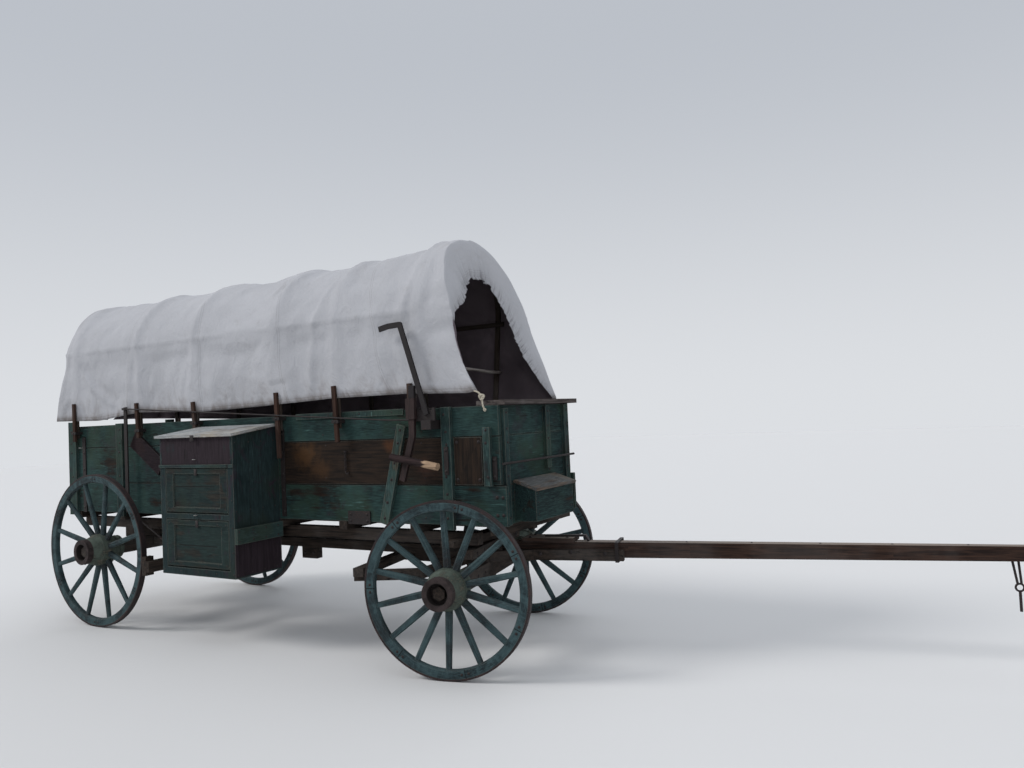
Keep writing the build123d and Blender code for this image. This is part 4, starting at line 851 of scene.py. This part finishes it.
mats["lever"] = rusty_iron("lever", dark=(0.014, 0.012, 0.013), much=0.1,
                           below=(-0.16 + S, 1.776, (0.034, 0.018, 0.017)))
mats["tyre"] = rusty_iron("tyre", (0.02, 0.015, 0.016), (0.046, 0.026, 0.024), 0.6)
IRON = rusty_iron("iron")
BRIGHT_IRON = rusty_iron("bright_iron", (0.3, 0.29, 0.28), (0.16, 0.13, 0.11), 0.2)
ROPE = rope_fibre()

nodes_of = {
    "side_boards": "side_boards_right side_boards_left", "upright_x": "side_cleats gate_cleats",
    "gate": "front_gate tailgate jockey_box", "top_board": "top_board", "cupboard": "cupboard_case",
    "door": "cupboard_upper_door cupboard_lower_door", "trim": "cupboard_trim", "lid": "cupboard_lid",
    "jockey_lid": "jockey_lid", "floor": "floor_boards", "strut": "side_struts", "bow": "bows",
    "slat": "bow_slats", "stake": "cover_stakes", "tongue": "tongue tongue_saddle", "plank": "diagonal_board",
    "billet": "brake_billet", "lever": "brake_lever",
    "gear": "front_hounds rear_hounds reach_pole bed_sills",
    "gear_y": "front_axle rear_axle sand_board front_bolster rear_bolster cross_bars brake_beam sway_bar",
}
looks = {node: mats[key] for key, nodes in nodes_of.items() for node in nodes.split()}
# Centre, turn, radius, number of spokes and outer side
wheels = {
    "front_left": (turned(0, HALF_TRACK, FRONT_R), TURN, FRONT_R, 14, 1),
    "front_right": (turned(0, -HALF_TRACK, FRONT_R), TURN, FRONT_R, 14, -1),
    "rear_left": (at(-WHEELBASE, HALF_TRACK, REAR_R), 0.0, REAR_R, 12, 1),
    "rear_right": (at(-WHEELBASE, -HALF_TRACK, REAR_R), 0.0, REAR_R, 12, -1),
}
for name, (centre, turn, radius, spokes, out) in wheels.items():
    looks[name + "_spokes"] = wheel_wood(name + "_wood", centre, turn, radius, spokes)
    looks[name + "_hub"] = hub_wood(name + "_hubwood", centre, turn, out)
    looks[name + "_tyre"] = mats["tyre"]
for node, obj in NODES.items():
    for slot in obj.material_slots:
        slot.material = looks.get(node, IRON)


# Small pieces: bolts, nails, hasps, chain, rope

FORE, AFT, UP, TO_RIGHT = (1, 0, 0), (-1, 0, 0), (0, 0, 1), (0, -1, 0)
# How far out the boards, irons and cleats of the bed's sides stand, and the cupboard's front
BOARD_Y, IRON_Y, CLEAT_Y, CUPBOARD_Y = 0.508, 0.5173, 0.535, -0.95


def ring_faces(a, b, n):
    """Faces between two rings of n vertices, which start at a and b."""
    return [(a + k, a + (k + 1) % n, b + (k + 1) % n, b + k) for k in range(n)]


def domed(places, sides=9):
    """Round bolt heads with a flat washer, each from (place, outward direction, radius)."""
    verts, faces = [], []
    rings = ((1.55, 0.0), (1.5, 0.16), (0.98, 0.2), (0.86, 0.52), (0.5, 0.78))
    for place, out, radius in list(places):
        out = Vector(out).normalized()
        one = out.orthogonal().normalized()
        two = out.cross(one)
        first, last = len(verts), len(verts) + (len(rings) - 1) * sides
        spin = rng.uniform(0, 2)
        for r, h in rings:
            verts += [Vector(place) + around(one, two, spin + 2 * pi * k / sides) * (r * radius)
                      + out * (h * radius) for k in range(sides)]
        for a in range(first, last, sides):
            faces += ring_faces(a, a + sides, sides)
        faces.append(tuple(range(last, last + sides)))
    return verts, faces


def tube(points, radii, sides=10, closed=False):
    """A round bar along a chain of points, with a radius for each of them or one for all."""
    points = [Vector(c) for c in points]
    n = len(points)
    radii = radii if isinstance(radii, (list, tuple)) else [radii] * n
    verts, faces, one = [], [], None
    for i, place in enumerate(points):
        after = points[(i + 1) % n] if closed or i < n - 1 else place
        before = points[i - 1] if closed or i > 0 else place
        along = (after - before).normalized()
        one = along.orthogonal() if one is None else one - along * one.dot(along)
        one = one.normalized()
        two = along.cross(one)
        verts += [place + around(one, two, 2 * pi * k / sides) * radii[i] for k in range(sides)]
    for i in range(n if closed else n - 1):
        faces += ring_faces(i * sides, (i + 1) % n * sides, sides)
    if not closed:
        faces.append(tuple(reversed(range(sides))))
        faces.append(tuple(range((n - 1) * sides, n * sides)))
    return verts, faces


def piece(name, parts, material, body="bed"):
    """One mesh from several (vertices, faces) parts."""
    verts, faces = [], []
    for v, f in parts:
        start = len(verts)
        verts += v
        faces += [tuple(start + k for k in face) for face in f]
    return mesh_object(name, verts, faces, material, body)


def bed_bolts():
    """Bolt heads and nails on the bed's sides and ends, as (place, outward direction, radius)."""
    for side in (-1, 1):
        out = (0, side, 0)
        for x in (-4.283, -3.565, 0.016, 0.335):
            for z in (0.965, 1.115, 1.235, 1.455, 1.545, 1.66):
                if x != 0.335 or 1.2 < z < 1.56:
                    yield at(x + jitter(0.012), side * CLEAT_Y, z + jitter(0.008)), out, 0.0065
        for x, y, heights in (
                (-4.128, IRON_Y, (0.95, 1.14, 1.3, 1.45, 1.56)),
                (-1.54, IRON_Y, (0.97, 1.13, 1.26, 1.42, 1.56)),
                (0.018, 0.5443, (1.275, 1.415)), (0.382, IRON_Y, (1.235, 1.345)),
                (-0.865, IRON_Y, (0.918, 0.965)), (-0.711, IRON_Y, (0.918, 0.965)),
                (0.385, BOARD_Y, (0.985, 1.1)), (0.43, BOARD_Y, (0.985, 1.1))):
            for z in heights:
                yield at(x, side * y, z), out, 0.008
        for z in (1.215, 1.465):
            for x in (0.09, 0.265):
                yield at(x, side * 0.517, z), out, 0.008
        for k in (0.06, 0.22, 0.45, 0.62, 0.82, 0.95):
            yield at(-0.546 + 0.186 * k, side * 0.5353, 0.905 + 0.691 * k), out, 0.007
        for x in (-3.95, -3.0, -2.3, -1.7, -1.1, -0.2):
            for z in (0.955, 1.14, 1.225, 1.465, 1.545, 1.672):
                yield at(x + jitter(0.02), side * BOARD_Y, z), out, 0.0042
        for x in (-1.3, -1.05, -0.75, -0.45):
            yield at(x, side * 0.518, 1.688), out, 0.0045
        for x in (-4.186, -3.24, -2.49, -1.53, -0.93, -0.23):
            yield at(x, side * 0.58, 1.682 if x in (-2.49, -1.53) else 1.64), out, 0.006
    for y in (-0.44, 0.142, 0.436):
        for z in (1.235, 1.455, 1.545, 1.65) if y == 0.142 else (0.96, 1.12, 1.235, 1.455, 1.545, 1.65):
            yield at(0.439, y + jitter(0.006), z), FORE, 0.0062
    for y in (-0.3, 0.18):
        for z in (0.975, 1.05, 1.11):
            yield at(0.577, y, z), FORE, 0.0045
    for y in (-0.32, 0.32):
        for z in (1.0, 1.14, 1.23, 1.45, 1.55, 1.67):
            yield at(-4.31, y, z), AFT, 0.0065


def cupboard_nails():
    for x in (-2.392, -1.613):
        for z in (0.56, 0.72, 0.9, 1.1, 1.28, 1.4, 1.54):
            yield at(x, CUPBOARD_Y, z), TO_RIGHT, 0.004
    for x in (-2.2, -2.0, -1.8):
        yield at(x, CUPBOARD_Y, 0.558), TO_RIGHT, 0.0038
    for y in (-0.93, -0.8, -0.68, -0.56):
        for z in (0.8, 0.87):
            yield at(-1.5647, y, z), FORE, 0.0048
        for z in (0.56, 1.02, 1.52):
            yield at(-1.59, y, z), FORE, 0.0036
            yield at(-2.415, y, z), AFT, 0.0036


def hasp(x, y, top, drop, width=0.03, thick=0.004, bevel=0.0012):
    """An iron strap that hangs on the right side and widens towards its foot."""
    half = [(0.9, 0.7), (1.15, 0.78), (0.8, 1.0)]
    outline = [(-k * width / 2, -drop * down) for k, down in half]
    outline += [(-a, b) for a, b in reversed(outline)] + [(width / 2, 0), (-width / 2, 0)]
    n = len(outline)
    middle = sum(b for _, b in outline) / n
    verts = []
    for shrink, out in ((0, 0), (0, thick - bevel), (bevel, thick)):
        for a, b in outline:
            k = 1 - shrink / hypot(a, b - middle)
            verts.append(at(x + a * k, y - out, top + middle + (b - middle) * k))
    return verts, ring_faces(0, n, n) + ring_faces(n, 2 * n, n) + [tuple(range(2 * n, 3 * n))]


def staple_loop(x, y, z, reach=0.022, half=0.008, radius=0.0028):
    """A wire staple that stands out to the right."""
    arc = ((-1, 0), (-1, 0.6), (-0.5, 1), (0.5, 1), (1, 0.6), (1, 0))
    return tube([at(x + half * a, y - reach * b, z) for a, b in arc], radius, 8)


LOCK_X = -2.002
piece("bed_bolt_heads", [domed(bed_bolts())], IRON)
piece("cupboard_nail_heads", [domed(cupboard_nails())], IRON)
piece("cupboard_staples", [staple_loop(LOCK_X, CUPBOARD_Y, z) for z in (1.404, 0.985)], BRIGHT_IRON)
for door, low, high in (("upper", 1.002, 1.335), ("lower", 0.592, 0.947)):
    nails = [(at(x, CUPBOARD_Y, z), TO_RIGHT, 0.0042) for x in (-2.325, -2.272, -1.775, -1.682)
             for z in (low + 0.03, high - 0.03)]
    piece(door + "_door_iron", [domed(nails), hasp(LOCK_X, CUPBOARD_Y, high - 0.004, 0.05)], IRON,
          door + "_door_body")
piece("cupboard_lid_hasp", [hasp(LOCK_X, -0.9745, 1.586, 0.045, 0.04)], IRON, "cupboard_lid_body")


def cross_pole(n=24):
    """A peeled pole across the front bow, a little crooked."""
    right_end, left_end = at(-0.17, -0.536, 2.004), at(-0.176, 0.536, 1.974)
    line = [right_end.lerp(left_end, k / n) + Vector((0.002 * sin(k * 0.9), 0, 0.003 * sin(k * 0.55)))
            for k in range(n + 1)]
    return tube(line, [0.0125 + 0.0015 * sin(k * 0.7) for k in range(n + 1)], 12)


piece("cross_pole", [cross_pole()], mats["pole"])


def wheel_irons():
    """Bolts through each wheel's felloes and tyre, and nails in its hub bands."""
    for name, (centre, turn, radius, spokes, out) in wheels.items():
        side = Vector((-sin(turn), cos(turn), 0)) * out
        fore, up = Vector((cos(turn), sin(turn), 0)), Vector(UP)
        bolts, tread = [], []
        for i in range(spokes // 2):
            for shift in (-0.045, 0.045):
                ray = around(fore, up, 2 * pi * 2 * (i + 0.5) / spokes + shift * 0.56 / radius)
                rim = centre + ray * (radius - 0.038)
                bolts += [(rim + side * 0.022, side, 0.0062), (rim - side * 0.022, -side, 0.0062)]
                tread.append((centre + ray * (radius - 0.0035), ray, 0.006))
        for i in range(8):
            ray = around(fore, up, 2 * pi * i / 8 + 0.2)
            bolts += [(centre + ray * 0.103 + side * 0.118, ray, 0.004),
                      (centre + ray * 0.098 - side * 0.172, ray, 0.004)]
        piece(name + "_bolts", [domed(bolts)], IRON, name + "_wheel")
        piece(name + "_tread_bolts", [domed(tread)], mats["tyre"], name + "_wheel")


wheel_irons()


def gear_bolts():
    """Bolt heads on the front gear."""
    fore, left = Vector((cos(TURN), sin(TURN), 0)), Vector((-sin(TURN), cos(TURN), 0))
    for x, z in ((0.62, 0.668), (0.4, 0.655), (0.86, 0.66)):
        for side in (-1, 1):
            yield turned(x, side * 0.1003, z), left * side, 0.0095
    for x in (0.32, 0.59):
        for y in (-0.06, 0.06):
            yield turned(x, y, 0.7613), UP, 0.0085
    for y in (-0.42, -0.28, 0.28, 0.42):
        for x, z in ((0.055, 0.71), (0.055, 0.555), (-0.055, 0.71)):
            yield turned(x, y, z), fore if x > 0 else -fore, 0.0085
    for x in (1.4, 1.82, 2.24, 2.66, 3.08):
        yield turned(x, 0.0, 0.731 - 0.011 * (x - 0.19) / 3.29), UP, 0.0055


piece("gear_bolt_heads", [domed(gear_bolts())], IRON, "front_gear")
reach_bolts = [(at(-1.855 + along, side * 0.032, 0.56), (0, side, 0), 0.008) for along in (0.035, 0.13)
               for side in (-1, 1)]
piece("reach_bolt_heads", [domed(reach_bolts)], IRON)


def side_chain(x=-0.895, y=-0.521, links=6, pitch=0.0215):
    """A short chain with a hook that hangs from a staple on the right side boards."""
    parts = [staple_loop(x, -BOARD_Y, 1.42, 0.02, 0.01, 0.0035)]
    z = 1.412
    for i in range(links):
        ring = []
        for k in range(12):
            wide, down = 0.0075 * cos(2 * pi * k / 12), 0.015 * sin(2 * pi * k / 12)
            across, out = (0, wide) if i % 2 else (wide, 0)
            ring.append(at(x + across, y + out, z - 0.01 + down))
        parts.append(tube(ring, 0.003, 7, closed=True))
        z -= pitch
    hook = [at(x, y, z + 0.004), at(x, y - 0.001, z - 0.012), at(x + 0.008, y - 0.002, z - 0.026),
            at(x + 0.022, y - 0.002, z - 0.028), at(x + 0.029, y - 0.002, z - 0.014)]
    return parts + [tube(hook, [0.0045, 0.0045, 0.0042, 0.0038, 0.003], 8)]


piece("side_chain", side_chain(), IRON)


def twisted(points, radius, lay):
    """A three-strand rope along a chain of points."""
    lengths = [0.0]
    for one, two in zip(points, points[1:]):
        lengths.append(lengths[-1] + (two - one).length)
    steps = max(8, int(lengths[-1] / 0.0035))
    line = []
    for i in range(steps + 1):
        d = lengths[-1] * i / steps
        k = max(j for j in range(len(points) - 1) if lengths[j] <= d + 1e-9)
        share = (d - lengths[k]) / max(lengths[k + 1] - lengths[k], 1e-9)
        line.append((points[k].lerp(points[k + 1], share), (points[k + 1] - points[k]).normalized(), d))
    parts = []
    for strand in range(3):
        chain = []
        for place, along, d in line:
            one = along.cross(Vector((0, 1, 0))).normalized()
            ray = around(one, along.cross(one), 2 * pi * (d / lay + strand / 3))
            chain.append(place + ray * radius * 0.52)
        parts.append(tube(chain, radius * 0.55, 7))
    return parts


def spline_line(points):
    """The smooth line of a cord, as points read from the NURBS spline of its route."""
    data = bpy.data.curves.new("route", "CURVE")
    data.dimensions = "3D"
    spline = data.splines.new("NURBS")
    spline.points.add(len(points) - 1)
    for point, place in zip(spline.points, points):
        point.co = (*place, 1.0)
    spline.order_u = 3
    spline.use_endpoint_u = True
    obj = linked("route", data)
    mesh = bpy.data.meshes.new_from_object(obj)
    line = [v.co.copy() for v in mesh.vertices]
    bpy.data.objects.remove(obj)
    bpy.data.curves.remove(data)
    bpy.data.meshes.remove(mesh)
    return line


def knot(x, y, z, reach, radius, lay):
    """A turn of rope drawn tight round its own part."""
    turns = [2 * pi * k / 16 for k in range(17)]
    ring = [at(x + reach * cos(k), y + 0.5 * reach * sin(2 * k), z + reach * sin(k)) for k in turns]
    return twisted(ring, radius, lay)


# The end of the cover's draw cord: out of the hem at the right front corner, knotted, and hanging free
DRAW_CORD = [at(0.266, -0.545, 1.802), at(0.29, -0.552, 1.797), at(0.312, -0.554, 1.785),
             at(0.326, -0.553, 1.765), at(0.331, -0.552, 1.741), at(0.331, -0.552, 1.718),
             at(0.336, -0.553, 1.696), at(0.346, -0.552, 1.676)]
CORD_LINE = spline_line(DRAW_CORD)
CORD_RADIUS = 0.0062
corner_rope = piece("corner_rope", twisted(CORD_LINE, CORD_RADIUS, 0.026), ROPE)
cord_knot = piece("corner_rope_knot", knot(0.326, -0.551, 1.757, 0.015, 0.0085, 0.03)
                  + knot(0.347, -0.552, 1.674, 0.006, 0.0066, 0.022), ROPE)
[tuple(c) for c in CORD_LINE]


# Floor, lights and sky

FLOOR_HALF = 40
floor_mesh = bpy.data.meshes.new("floor")
floor_mesh.from_pydata([(x * FLOOR_HALF, y * FLOOR_HALF, 0) for x, y in ((-1, -1), (1, -1), (1, 1), (-1, 1))],
                       [], [(0, 1, 2, 3)])
floor_mesh.materials.append(Material("floor_pale", rough=0.9, colour=(0.62, 0.62, 0.62)).finish())
floor = linked("floor", floor_mesh)
floor.location.z = -0.001
floor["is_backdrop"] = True

HORIZON, ZENITH = (0.716, 0.736, 0.766), (0.5, 0.53, 0.58)
world = bpy.data.worlds.new("world")
bpy.context.scene.world = world
world.use_nodes = True
sky = Tree(world.node_tree)
rise = sky.split(sky.node("TexCoord", output="Generated"))[2]
sky.put(sky.mix(rise.step(-0.02, 0.45), HORIZON, ZENITH), world.node_tree.nodes["Background"].inputs[0])

# Wide even lamps: direction they shine from, power, spread in degrees, colour
for name, source, power, spread, colour in (
        ("key", (-10.0, -6.5, 9.2), 1.75, 18, (1.0, 0.98, 0.96)),
        ("fill", (6.0, -5.5, 3.0), 0.35, 50, (0.97, 0.98, 1.0)),
        ("top", (1.0, 1.5, 8.0), 0.55, 60, (0.96, 0.98, 1.0)),
        ("back", (-2.0, 8.0, 4.5), 0.45, 40, (0.95, 0.97, 1.0))):
    lamp = linked(name, bpy.data.lights.new(name, "SUN"))
    lamp.data.energy = power
    lamp.data.angle = radians(spread)
    lamp.data.color = colour
    lamp.rotation_mode = "QUATERNION"
    lamp.rotation_quaternion = Vector(source).to_track_quat("Z", "Y")

low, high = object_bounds()
